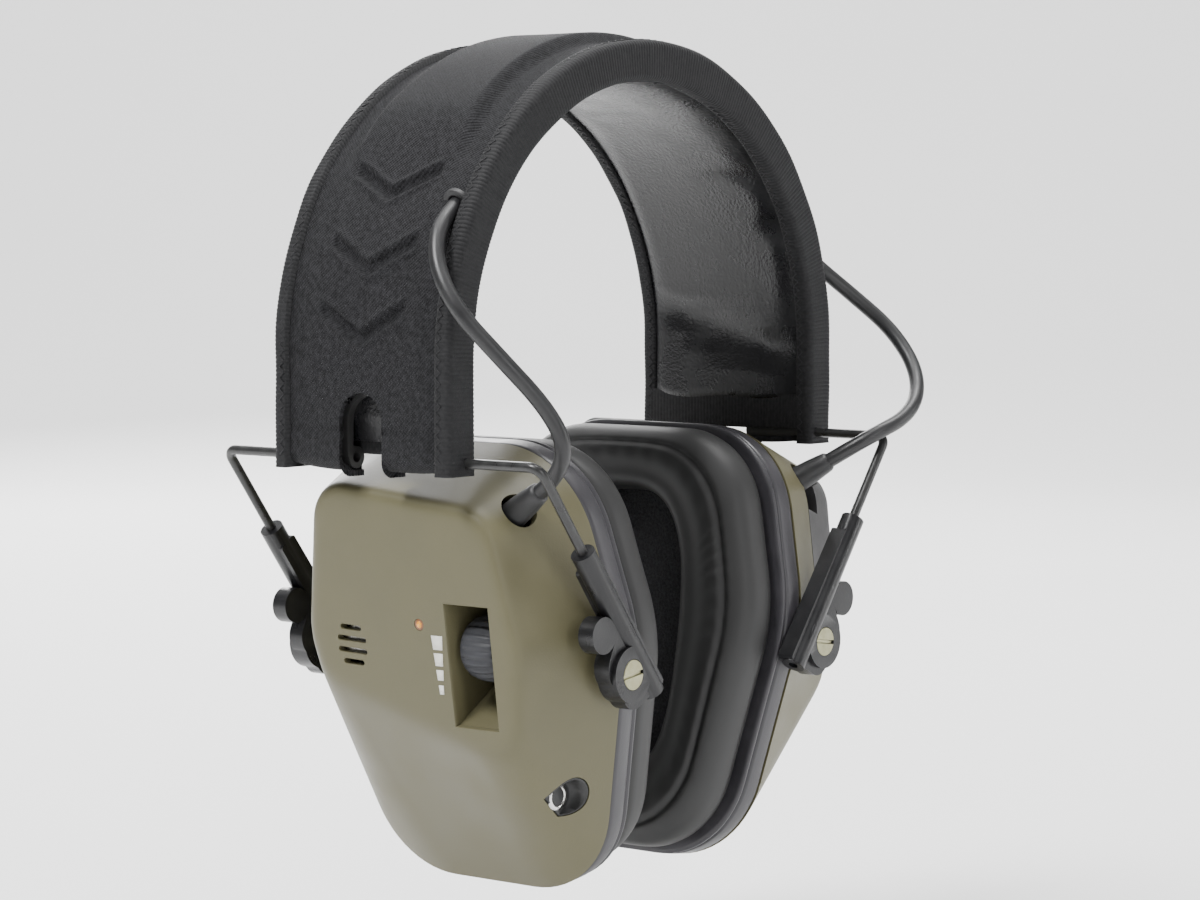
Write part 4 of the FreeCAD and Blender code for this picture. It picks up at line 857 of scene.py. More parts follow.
    def build_foot_strips(self) -> None:
        """Ribbed strips sewn over the lower ends of the inner pad."""
        for side in Side:
            across = np.linspace(-self.seam_line, self.seam_line, 480)[:, None]
            height = np.linspace(0, math.tau, 40, endpoint=False)[None, :]
            middle = self.foot + 7.6 * MM
            tall = 4.3 * MM * np.sign(np.sin(height)) * np.abs(np.sin(height)) ** 0.4
            half_thick = 0.75 * MM
            thick = half_thick * np.sign(np.cos(height)) * np.abs(np.cos(height)) ** 0.4
            rib = 0.10 * MM * np.abs(np.sin(across * math.pi / self.rib_pitch))
            out = self.inner_radius + 0.2 * MM - thick * (1 + rib / half_thick)
            grid = np.stack(np.broadcast_arrays(side.value * out, across, middle + tall), axis=-1)
            strip = outward(grid_object(side.word + "_foot_strip", grid, True, caps=True))
            fit_out(strip, TAPE, "binding", "headband")

    def build(self) -> None:
        """Make every visible piece of the band."""
        self.build_cover()
        self.build_pad()
        self.build_bindings()
        self.build_stitches()
        self.build_foot_strips()
        SPRING.dress_nodes("spring_strip")
        FOAM.dress_nodes("foam_sheet")
        BLACK_PLASTIC.dress_nodes("left_end_fitting", "right_end_fitting")
        CABLE.dress_nodes("band_lead")


def ribbon_tube(name: str, line: Array, radius: float, sides: int = 6) -> bpy.types.Object:
    """A thin tube along a line of points, closed at both ends.

    Each point's ring lies in the plane square to the line there; the first direction of the
    ring is the part of +Y square to the line, or of +Z where the line runs along Y.

    Args:
        name: name of the object.
        line: points along the middle.
        radius: radius of the tube.
        sides: points in each ring.

    Returns:
        The tube.
    """
    return outward(grid_object(name, tube_rings(line, radius, sides), True, caps=True))


def tube_rings(line: Array, radius: float, sides: int) -> Array:
    """Rings of points square to a line, as described for the thin tube."""
    tangent = np.gradient(line, axis=0)
    tangent /= np.linalg.norm(tangent, axis=1, keepdims=True)
    guide = np.where(np.abs(tangent[:, 1:2]) > 0.9, [[0, 0, 1.0]], [[0, 1.0, 0]])
    first = guide - (guide * tangent).sum(1, keepdims=True) * tangent
    first /= np.linalg.norm(first, axis=1, keepdims=True)
    second = np.cross(tangent, first)
    angle = np.linspace(0, math.tau, sides, endpoint=False)[None, :, None]
    around = np.cos(angle) * first[:, None] + np.sin(angle) * second[:, None]
    return line[:, None] + radius * around


# ---------------------------------------------------------------- ear cups


def rounded_outline(corners: Sequence[tuple[float, float, float]], per_side: int = 16,
                    per_corner: int = 15) -> Array:
    """Outline of straight sides joined by tangent arcs.

    Args:
        corners: where the sides would meet, and the radius of each arc.
        per_side: points along each straight side.
        per_corner: points along each arc.

    Returns:
        Points in order, two coordinates each.
    """
    spots = np.array([corner[:2] for corner in corners])
    radii = np.array([corner[2] for corner in corners])
    before = np.roll(spots, 1, axis=0) - spots
    after = np.roll(spots, -1, axis=0) - spots
    before /= np.linalg.norm(before, axis=1, keepdims=True)
    after /= np.linalg.norm(after, axis=1, keepdims=True)
    half = np.arccos(np.clip((before * after).sum(1), -1, 1)) / 2
    cut = radii / np.tan(half)
    bisector = before + after
    bisector /= np.linalg.norm(bisector, axis=1, keepdims=True)
    centre = spots + bisector * (radii / np.sin(half))[:, None]
    first, last = spots + before * cut[:, None], spots + after * cut[:, None]
    start = np.arctan2(*(first - centre).T[::-1])
    sweep = np.arctan2(*(last - centre).T[::-1]) - start
    sweep = (sweep + math.pi) % math.tau - math.pi
    share = np.linspace(0, 1, per_corner)
    angle = start[:, None] + sweep[:, None] * share
    arcs = centre[:, None] + radii[:, None, None] * np.stack([np.cos(angle), np.sin(angle)], -1)
    along = np.linspace(0, 1, per_side + 2)[1:-1, None]
    straight = last[:, None] * (1 - along) + np.roll(first, -1, axis=0)[:, None] * along
    return np.concatenate([arcs, straight], axis=1).reshape(-1, 2)


@dataclass
class EarCup:
    """One faceted cup: shell, ring, cushion, liner and what is screwed to it."""

    side: Side
    tilt: float = math.radians(8.0)
    pivot: float = 36.0 * MM
    ring_plane: float = -3.0 * MM
    face_plane: float = 23.0 * MM
    wall: float = 2.0 * MM

    def place(self, local: Array) -> Array:
        """Cup points to the frame: outwards, to the front and up, leaned and moved to its pivot."""
        out, ahead, up = np.moveaxis(np.asarray(local, float), -1, 0)
        across = out * math.cos(self.tilt) + up * math.sin(self.tilt) + self.pivot
        height = -out * math.sin(self.tilt) + up * math.cos(self.tilt) - SEAT
        return np.stack([self.side.value * across, -ahead, height], axis=-1)

    @property
    def body(self) -> str:
        """The cup's body in the frame."""
        return self.side.word + "_cup"

    def node(self, name: str) -> str:
        """The frame's node of this cup with that last name."""
        return f"{self.side.word}_{name}"

    @staticmethod
    def ring_outline(inset: float = 0.0) -> Array:
        """Outline where ring and shell meet: ahead and up of each point."""
        half = [(33.0, 48.5, 24.0), (43.5, 5.0, 45.0), (31.0, -53.0, 24.0)]
        k = inset / MM
        right = [(x - k, y - k * np.sign(y) if abs(y) > 10 else y, r - k) for x, y, r in half]
        left = [(-x, y, r) for x, y, r in reversed(right)]
        return rounded_outline([tuple(v * MM for v in c) for c in right + left])

    @staticmethod
    def face_outline(inset: float = 0.0) -> Array:
        """Outline of the outer face, in the same order as the ring's."""
        k = inset / MM
        front, rear, corner = 34.0 - k, 24.0 - k, 9.0 - k / 2
        corners = [(front - 5, 39.0 - k, corner), (front + 1, 9.0, 18.0),
                   (front - 2, -17.0 + k, corner), (-(rear - 2), -1.0 + k, corner),
                   (-(rear + 1), 9.0, 18.0), (-(rear - 5), 44.0 - k, corner)]
        return rounded_outline([tuple(v * MM for v in c) for c in corners])

    def skin(self, inset: float, face: float, start: float, passes: int, crown: float) -> Array:
        """Surface from the ring's outline out to the face and in to its middle.

        Rows run straight from one outline to the other, then shrink to the middle of the face
        with a slight crown; rows are then averaged, which rounds the rim of the face.

        Args:
            inset: distance inside the outer skin.
            face: the plane of the face.
            start: the plane of the first row.
            passes: how often rows are averaged.
            crown: height of the face's middle over its rim.

        Returns:
            Grid of cup points, rows by columns by three.
        """
        ring, rim = self.ring_outline(inset), self.face_outline(inset)
        middle = np.array([4.0 * MM, 15.0 * MM])
        climb = np.linspace(0, 1, 38)[:, None, None]
        flat = ring[None] * (1 - climb) + rim[None] * climb
        heights = np.broadcast_to(start + (face - start) * climb, flat.shape[:2] + (1,))
        shrink = np.linspace(0, 1, 36)[1:-1, None, None]
        cap = rim[None] * (1 - shrink) + middle * shrink
        dome = face + crown * (1 - (1 - shrink) ** 2)
        dome = np.broadcast_to(dome, cap.shape[:2] + (1,))
        rows = np.concatenate([np.concatenate([heights, flat], -1),
                               np.concatenate([dome, cap], -1)])
        pole = np.broadcast_to([face + crown, *middle], (1, rows.shape[1], 3))
        return soften_rows(np.concatenate([rows, pole]), passes)

    def blank_shell(self, name: str) -> bpy.types.Object:
        """Closed hollow shell before anything is cut: outer skin, inner skin and a flat rim."""
        outer = self.skin(0.0, self.face_plane - 0.25 * MM, self.ring_plane, 9, 0.25 * MM)
        inner = self.skin(self.wall, self.face_plane - self.wall, self.ring_plane, 4, 0.0)
        grid = np.concatenate([outer[::-1], inner])
        return outward(grid_object(name, self.place(grid), True))

    def outside(self, inset: float = 0.0) -> bpy.types.Object:
        """Everything inside the cup's outer skin, as one solid.

        Args:
            inset: how far inside the skin the solid stays.

        Returns:
            The solid.
        """
        outer = self.skin(inset, self.face_plane - 0.25 * MM - inset, self.ring_plane, 9,
                          0.25 * MM)
        hub = np.broadcast_to([self.ring_plane, 0, 0], (1, outer.shape[1], 3))
        return outward(grid_object("outside", self.place(np.concatenate([hub, outer])), True))

    def prism(self, name: str, outline: Array, low: float, high: float,
              grow: float = 0.0) -> bpy.types.Object:
        """Closed block along the cup's outward axis.

        Args:
            name: name of the object.
            outline: ahead and up of each corner.
            low: inner plane.
            high: outer plane.
            grow: how much wider the outer end is, for a chamfered mouth.

        Returns:
            The block.
        """
        middle = outline.mean(0)
        wide = outline + np.sign(outline - middle) * grow
        rows = [(low, outline), (high, wide)]
        if grow:
            rows = [(low, outline), (self.face_plane - 0.45 * MM, outline),
                    (self.face_plane + 0.3 * MM, wide), (high, wide)]
        grid = np.stack([np.concatenate([np.full((len(o), 1), x), o], 1) for x, o in rows])
        return outward(grid_object(name, self.place(grid), True, caps=True))

    def rod(self, name: str, start: Array, aim: Array, radii: Sequence[tuple[float, float]],
            sides: int = 48) -> bpy.types.Object:
        """Closed turned piece: a radius for each distance along an axis.

        Args:
            name: name of the object.
            start: cup point at distance zero.
            aim: direction of the axis in the cup.
            radii: distance along the axis and radius, in order.
            sides: points around.

        Returns:
            The piece.
        """
        aim = np.asarray(aim, float) / np.linalg.norm(aim)
        guide = np.array([1.0, 0, 0]) if abs(aim[0]) < 0.8 else np.array([0, 0, 1.0])
        first = guide - guide.dot(aim) * aim
        first /= np.linalg.norm(first)
        second = np.cross(aim, first)
        angle = np.linspace(0, math.tau, sides, endpoint=False)[None, :, None]
        profile = np.array(radii)
        grid = (np.asarray(start, float) + profile[:, :1, None] * aim
                + profile[:, 1:, None] * (np.cos(angle) * first + np.sin(angle) * second))
        return outward(grid_object(name, self.place(grid), True, caps=True))

    @staticmethod
    def smooth(thing: bpy.types.Object) -> None:
        """Smooth shading with crisp cut edges."""
        thing.data.polygons.foreach_set("use_smooth", np.ones(len(thing.data.polygons), bool))
        smooth_by_angle(thing, 32)

    def finish_piece(self, thing: bpy.types.Object, finish: Finish, slot: str,
                     *nodes: str) -> None:
        """Dress a piece, let it stand for nodes and ride on the cup."""
        fit_out(thing, finish, slot, self.body, *nodes)

    def build_ring(self) -> None:
        """Ring between shell and cushion, with a shadow gap and rounded lips."""
        profile = np.array([
            (-3.05, 4.8), (-3.05, 1.0), (-3.2, 0.45), (-3.7, 0.1), (-4.6, 0.0), (-7.6, 0.0),
            (-8.2, 0.12), (-8.5, 0.5), (-8.7, 0.5), (-9.1, 0.1), (-9.6, 0.1), (-9.95, 0.4),
            (-9.98, 1.2), (-9.98, 4.8)]) * MM
        outlines = np.stack([self.ring_outline(inset) for inset in profile[:, 1]])
        planes = np.broadcast_to(profile[:, :1, None], outlines.shape[:2] + (1,))
        grid = np.concatenate([planes, outlines], -1)
        grid = np.concatenate([grid, grid[:1]])
        ring = outward(grid_object(self.node("ring_body"), self.place(grid), True))
        smooth_by_angle(ring, 50)
        self.finish_piece(ring, RING_GREY, "ring_grey", self.node("ring"))

    @staticmethod
    def ear_outline(inset: float = 0.0) -> Array:
        """Ear opening, with as many points as the ring's outline and in step with it."""
        half, top, low = 19.0 * MM - inset, 32.0 * MM - inset, -35.0 * MM + inset
        middle = np.array([0.0, (top + low) / 2])
        ring = EarCup.ring_outline()
        angle = np.arctan2(ring[:, 1] - middle[1], ring[:, 0] - middle[0])
        power = 2.9
        reach = (np.abs(np.cos(angle) / half) ** power
                 + np.abs(np.sin(angle) / ((top - low) / 2)) ** power) ** (-1 / power)
        return middle + reach[:, None] * np.stack([np.cos(angle), np.sin(angle)], 1)

    def build_cushion(self) -> None:
        """Soft ring: full outer wall, sewn crest, rolled inner lip and small puckers.

        Across the section the share of the way in goes from the ring's outline to the ear
        opening as (1 - cos) / 2, and the height over the ring as a power of the sine.
        """
        outer, opening = self.ring_outline(1.6 * MM), self.ear_outline(0.2 * MM)
        share = np.linspace(0, 1, 46)
        inward = (1 - np.cos(math.pi * share)) / 2
        height = np.sin(math.pi * share) ** 0.42
        around = np.linspace(0, math.tau, len(outer), endpoint=False)[None, :]
        seam = np.exp(-(((share - 0.36) / 0.022) ** 2))[:, None]
        lip = np.exp(-(((share - 0.62) / 0.1) ** 2))[:, None]
        pucker = np.sin(around * 46 + 2 * np.sin(around * 3)) * np.exp(
            -(((share - 0.42) / 0.09) ** 2))[:, None]
        sag = ripple(np.cos(around) * 0.05, np.sin(around) * 0.05 + share[:, None] * 0.05, 21,
                     low=30, high=90)
        depth = 13.5 * MM * height[:, None] - 0.9 * MM * seam - 0.8 * MM * lip
        depth = depth + 0.16 * MM * pucker + 0.22 * MM * sag * height[:, None]
        depth = np.clip(depth, 0, 13.9 * MM)
        flat = outer[None] * (1 - inward[:, None, None]) + opening[None] * inward[:, None, None]
        plane = np.broadcast_to((-10.05 * MM - depth)[..., None], flat.shape[:2] + (1,))
        grid = np.concatenate([plane, flat], -1)
        grid = np.concatenate([grid, grid[:1]])
        cushion = outward(grid_object(self.node("cushion_skin"), self.place(grid), True))
        rounding = cushion.modifiers.new("round", "SUBSURF")
        rounding.levels = rounding.render_levels = 1
        self.finish_piece(cushion, VINYL, "cushion_vinyl", self.node("cushion"))

    def build_liner(self) -> None:
        """Open foam behind the ear opening, dished over the speaker."""
        outline = self.ring_outline(7.0 * MM)
        middle = outline.mean(0)
        shrink = np.linspace(0, 1, 30)[:, None, None]
        flat = outline[None] * (1 - shrink) + middle * shrink
        wave = 0.25 * MM * ripple(flat[..., 0], flat[..., 1], 31, low=80, high=300)
        dish = 0.8 * MM * (1 - shrink[..., 0]) ** 2
        front = -8.7 * MM - dish + wave * (shrink[..., 0] > 0)
        top = np.concatenate([front[..., None], flat], -1)
        rear = -5.3 * MM
        back = np.concatenate([np.full((1, len(outline), 1), rear), outline[None]], -1)
        hub = np.broadcast_to([rear, *middle], (1, len(outline), 3))
        grid = np.concatenate([hub, back, top])
        liner = outward(grid_object(self.node("liner_foam"), self.place(grid), True))
        self.finish_piece(liner, FOAM, "foam", self.node("foam_liner"))

    def build_boot(self) -> None:
        """Tapered rubber sleeve with a collar."""
        foot, aim = BOOTS[self.side]
        grooves = [(0.0, 3.55), (2.0, 3.6), (4.5, 3.5), (5.0, 3.3), (12.6, 2.75), (15.2, 2.45),
                   (16.4, 2.3), (17.0, 1.9)]
        boot = self.rod(self.node("boot_sleeve"), np.array(foot) * MM, np.array(aim),
                        [(a * MM, r * MM) for a, r in grooves])
        RUBBER.dress(boot)
        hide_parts(self.node("lead_boot"))
        start = self.place(np.array(foot) * MM)
        tip = self.boot_point(BOOT_LENGTH)
        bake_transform(boot)

    def boot_point(self, beyond: float) -> Array:
        """Point on the boot's axis, a distance from its foot."""
        foot, aim = BOOTS[self.side]
        direction = np.array(aim) / np.linalg.norm(aim)
        return self.place(np.array(foot) * MM + direction * beyond)

    def boot_drill(self) -> bpy.types.Object:
        """Tool for the boot's hole."""
        foot, aim = BOOTS[self.side]
        return self.rod("boot_tool", np.array(foot) * MM, np.array(aim),
                        [(-1 * MM, BOOT_HOLE), (20 * MM, BOOT_HOLE)], sides=40)

    def build_inside(self) -> None:
        """Dress what stays hidden in the cup."""
        BLACK_PLASTIC.dress_nodes(self.node("baffle"), self.node("speaker"))
        BOARD.dress_nodes(self.node("circuit_board"))
        ZINC.dress_nodes(self.node("housing_screws"))
        NICKEL.dress_nodes(self.node("microphone"))

    def build_screws(self) -> None:
        """Slotted pivot screws with rounded heads."""
        screws = softened(self.node("pivot_screws"), 0.25 * MM, 3)
        BRASS.dress(screws)

    def build(self) -> None:
        """Make every piece of the cup."""
        self.build_shell()
        self.build_ring()
        self.build_cushion()
        self.build_liner()
        self.build_boot()
        self.build_screws()
        self.build_inside()

    def build_shell(self) -> None:
        """Each cup makes its own shell."""
        raise NotImplementedError


BOOT_LENGTH = 17.0 * MM
BOOT_HOLE = 4.1 * MM  # radius cut in the shell
# Foot and direction of each boot in its cup, in millimetres: outwards, to the front, up.
BOOTS = {
    Side.LEFT: ((11.0, 23.0, 33.0), (1.5, 13.0, 8.5)),
    Side.RIGHT: ((7.5, 23.2, 32.9), (4.2, 13.4, 9.5)),
}


def rectangle(ahead: float, up: float, width: float, height: float) -> Array:
    """Corners of a rectangle round a middle point, in metres."""
    half_width, half_height = width / 2, height / 2
    corners = [(ahead - half_width, up - half_height), (ahead + half_width, up - half_height),
               (ahead + half_width, up + half_height), (ahead - half_width, up + half_height)]
    return np.array(corners)


def capsule(ahead: float, up: float, length: float, height: float, slant: float) -> Array:
    """Outline of a slot with round ends, turned by a slant."""
    angle = np.linspace(-math.pi / 2, math.pi / 2, 9)
    half, radius = length / 2 - height / 2, height / 2
    right = np.stack([half + radius * np.cos(angle), radius * np.sin(angle)], 1)
    outline = np.concatenate([right, -right])
    turn = np.array([[math.cos(slant), -math.sin(slant)], [math.sin(slant), math.cos(slant)]])
    return outline @ turn.T + [ahead, up]


@dataclass
class ControlCup(EarCup):
    """Left cup, with sound slots, lamp, level marks, volume wheel and audio socket."""

    slot_rows: tuple[tuple[float, float], ...] = ((11.3, 6.1), (8.7, 8.5), (6.1, 8.5), (3.5, 6.1))
    window: tuple[float, float, float, float] = (22.0 * MM, 5.0 * MM, 12.0 * MM, 27.0 * MM)
    socket: tuple[float, float, float] = (7.4 * MM, 30.0 * MM, -27.0 * MM)
    lamp: tuple[float, float] = (8.3 * MM, 13.5 * MM)

    def build_shell(self) -> None:
        """Shell with every opening cut and the wheel's well joined in."""
        shell = self.blank_shell("control_shell")
        ahead, up, width, height = self.window
        well = rectangle(ahead, up, width + 2.4 * MM, height + 2.4 * MM)
        carve(shell, self.prism("well", well, 5.8 * MM, 22.0 * MM), "UNION")
        hole = rectangle(ahead, up, width, height)
        carve(shell, self.prism("hole", hole, 7.0 * MM, 26 * MM, grow=0.45 * MM), "DIFFERENCE")
        carve(shell, self.ramp(), "UNION")
        for height_up, length in self.slot_rows:
            outline = capsule(-12.0 * MM, height_up * MM, length * MM, 1.25 * MM, -0.03)
            carve(shell, self.prism("slot", outline, 19 * MM, 26 * MM), "DIFFERENCE")
        lamp = self.rod("lamp_tool", (18 * MM, *self.lamp), (1, 0, 0),
                        [(0, 1.32 * MM), (8 * MM, 1.32 * MM)], sides=32)
        carve(shell, lamp, "DIFFERENCE")
        out, front, low = self.socket
        boss = self.rod("socket_boss", (out, front - 5.0 * MM, low), (0, 1, 0),
                        [(0, 5.8 * MM), (16.0 * MM, 5.8 * MM)])
        carve(boss, self.outside(0.09 * MM), "INTERSECT")
        for piece in (shell, boss):
            recess = self.rod("socket_tool", (out, front - 0.6 * MM, low), (0, 1, 0),
                              [(0, 4.5 * MM), (3 * MM, 4.6 * MM), (14 * MM, 5.0 * MM)])
            carve(piece, recess, "DIFFERENCE")
            bore = self.rod("bore_tool", (out, front - 15 * MM, low), (0, 1, 0),
                            [(0, 3.22 * MM), (20 * MM, 3.22 * MM)])
            carve(piece, bore, "DIFFERENCE")
        smooth_by_angle(boss, 32)
        self.finish_piece(boss, OLIVE, "shell_olive")
        carve(shell, self.boot_drill(), "DIFFERENCE")
        self.smooth(shell)
        self.finish_piece(shell, OLIVE, "shell_olive", self.node("shell"))
        self.build_controls()

    def ramp(self) -> bpy.types.Object:
        """Sloped floor at the lower end of the wheel's well."""
        ahead, up, width, height = self.window
        low = up - height / 2
        across = np.array([ahead - width / 2 - 0.4 * MM, ahead + width / 2 + 0.4 * MM])
        side = np.array([(6.4 * MM, low - 0.5 * MM), (21.6 * MM, low - 0.5 * MM),
                         (21.6 * MM, low + 0.05 * MM), (6.4 * MM, low + 7.0 * MM)])
        grid = np.stack([np.stack([side[:, 0], np.full(4, a), side[:, 1]], 1) for a in across])
        return outward(grid_object("ramp", self.place(grid), True, caps=True))

    def build_controls(self) -> None:
        """Lamp, printed level marks, wheel, shaft and socket."""
        lamp = self.rod("lamp_lens", (20.4 * MM, *self.lamp), (1, 0, 0),
                        [(0, 0.9 * MM), (2.3 * MM, 0.9 * MM), (2.6 * MM, 0.75 * MM),
                         (2.75 * MM, 0.4 * MM)], sides=32)
        self.finish_piece(lamp, AMBER, "lamp_amber", "power_lamp")
        bezel = self.rod("lamp_bezel", (20.4 * MM, *self.lamp), (1, 0, 0),
                         [(0, 1.3 * MM), (2.45 * MM, 1.3 * MM), (2.55 * MM, 1.15 * MM)], sides=32)
        self.finish_piece(bezel, AMBER_RING, "lamp_amber")
        for rank, (low, high) in enumerate(((8.3, 11.4), (4.7, 7.5), (1.5, 3.8), (-1.6, 0.4))):
            half = (1.55 - 0.3 * rank) * MM
            mark = self.mark(13.1 * MM, half, low * MM, high * MM)
            self.finish_piece(mark, PRINT_WHITE, "shell_olive")
        self.build_wheel()
        BLACK_PLASTIC.dress_nodes("volume_shaft")
        self.build_socket()

    def mark(self, ahead: float, half: float, low: float, high: float) -> bpy.types.Object:
        """One printed level mark, a flat tapered block a tenth of a millimetre thick."""
        base = self.face_plane - 0.12 * MM
        corners = np.array([(ahead - half * 0.82, low), (ahead + half * 0.82, low),
                            (ahead + half, high), (ahead - half, high)])
        rows = [np.concatenate([np.full((4, 1), x), corners], 1) for x in (base, base + 0.2 * MM)]
        return outward(grid_object("level_mark", self.place(np.stack(rows)), True, caps=True))

    def build_wheel(self) -> None:
        """Barrel wheel with wavy ribs: radius = crown of the barrel plus a sharpened cosine."""
        angle = np.linspace(0, math.tau, 264, endpoint=False)[None, :]
        across = np.linspace(-1, 1, 25)[:, None]
        rib = 0.42 * MM * (0.5 + 0.5 * np.cos(22 * angle)) ** 0.7
        edge = np.abs(across) ** 6
        radius = (6.85 * MM - 0.75 * MM * np.abs(across) ** 2.2) + rib * (1 - edge)
        ahead = self.window[0] + 4.45 * MM * across
        centre = np.array([14.8, 7.4]) * MM
        grid = np.stack(np.broadcast_arrays(centre[0] + radius * np.cos(angle), ahead,
                                            centre[1] + radius * np.sin(angle)), axis=-1)
        hub = np.stack(np.broadcast_arrays(centre[0] + 1.56 * MM * np.cos(angle),
                                           ahead[[0, -1]],
                                           centre[1] + 1.56 * MM * np.sin(angle)), axis=-1)
        closed = np.concatenate([hub[:1], grid, hub[1:], hub[:1]])
        wheel = outward(grid_object("ribbed_wheel", self.place(closed), True))
        smooth_by_angle(wheel, 60)
        fit_out(wheel, WHEEL, "rubber_black", "volume_wheel", "volume_wheel")

    def build_socket(self) -> None:
        """Plated sleeve with a dark bore."""
        out, front, low = self.socket
        start = (out, front - 14.5 * MM, low)
        sleeve = [(0, 3.15), (14.1, 3.15), (14.4, 2.95), (14.5, 2.6), (14.5, 2.1), (14.2, 1.82),
                  (1.5, 1.8), (1.5, 0.01)]
        body = self.rod("socket_sleeve", start, (0, 1, 0), [(a * MM, r * MM) for a, r in sleeve])
        self.finish_piece(body, NICKEL, "jack_metal", "audio_jack")
        lining = self.rod("socket_lining", (out, front - 13 * MM, low), (0, 1, 0),
                          [(0.05 * MM, 1.7 * MM), (11.0 * MM, 1.75 * MM), (11.0 * MM, 1.2 * MM),
                           (0.5 * MM, 1.2 * MM)])
        self.finish_piece(lining, DARK_HOLE, "shaft_plastic")
        well = self.rod("socket_well", (out, front - 0.5 * MM, low), (0, 1, 0),
                        [(0, 3.3 * MM), (0, 4.45 * MM), (2.9 * MM, 4.5 * MM), (14 * MM, 4.9 * MM),
                         (14 * MM, 4.5 * MM), (2.9 * MM, 4.1 * MM), (0.35 * MM, 4.0 * MM),
                         (0.35 * MM, 3.3 * MM)])
        carve(well, self.outside(0.15 * MM), "INTERSECT")
        self.finish_piece(well, BLACK_PLASTIC, "shaft_plastic")


@dataclass
class BatteryCup(EarCup):
    """Right cup, with a walled battery bay under a hinged door."""

    floor: float = 7.5 * MM
    low: float = -6.0 * MM
    top: float = 38.5 * MM
    slant: float = 3.3 * MM

    def bay(self, name: str, gap: float, grow: float) -> bpy.types.Object:
        """Block of the bay's side view, right across the cup.

        Args:
            name: name of the object.
            gap: how far inside the bay it stays.
            grow: how far outside the bay it goes.

        Returns:
            The block.
        """
        floor, low, top = self.floor + gap - grow, self.low + gap - grow, self.top - gap + grow
        side = np.array([(floor, low), (24 * MM, low), (24 * MM, top), (floor, top - self.slant)])
        grid = np.stack([np.stack([side[:, 0], np.full(4, a * MM), side[:, 1]], 1)
                         for a in (-60.0, 60.0)])
        return outward(grid_object(name, self.place(grid), True, caps=True))

    def build_shell(self) -> None:
        """Shell with the bay's walls, and the door that closes it."""
        shell = self.blank_shell("battery_shell")
        solid = self.outside()
        carve(solid, self.bay("lining", 0.0, 2.0 * MM), "INTERSECT")
        carve(shell, solid, "UNION")
        carve(shell, self.bay("opening", 0.0, 0.0), "DIFFERENCE")
        carve(shell, self.boot_drill(), "DIFFERENCE")
        self.smooth(shell)
        self.finish_piece(shell, OLIVE, "shell_olive", self.node("shell"))
        door = self.blank_shell("bay_door")
        carve(door, self.bay("door_block", 0.3 * MM, 0.0), "INTERSECT")
        carve(door, self.notch(), "DIFFERENCE")
        self.smooth(door)
        bevel(door, 0.25 * MM)
        fit_out(door, DOOR_GREY, "door_grey", "battery_door", "battery_door")
        CELL.dress_nodes("battery_cells")
        NICKEL.dress_nodes("battery_contacts")

    def notch(self) -> bpy.types.Object:
        """Room for the boot in the door's top front corner, open inwards."""
        foot, aim = BOOTS[self.side]
        aim = np.array(aim) / np.linalg.norm(aim)
        down = np.cross([1.0, 0, 0], aim)
        down *= -np.sign(down[2]) / np.linalg.norm(down)
        inward = np.cross(aim, down)
        inward *= -np.sign(inward[0])
        start = np.array(foot) * MM - aim * 4 * MM
        across = np.array([-4.0, 8.5]) * MM
        depth = np.array([-4.0, 20.0]) * MM
        ring = [start + down * a + inward * d for a, d in (
            (across[0], depth[0]), (across[1], depth[0]), (across[1], depth[1]),
            (across[0], depth[1]))]
        grid = np.stack([np.array(ring), np.array(ring) + aim * 34 * MM])
        return outward(grid_object("notch", self.place(grid), True, caps=True))


# ---------------------------------------------------------------- yokes and leads


@dataclass
class Yoke:
    """Wires and moulded arms of one side."""

    side: Side

    def build(self) -> None:
        """Dress the wires and round the edges of the arms."""
        for facing in Facing:
            stem = f"{self.side.word}_{facing.word}"
            WIRE_BLACK.dress_nodes(stem + "_wire")
            arm = softened(stem + "_arm", 0.35 * MM, 3)
            ARM_BLACK.dress(arm)


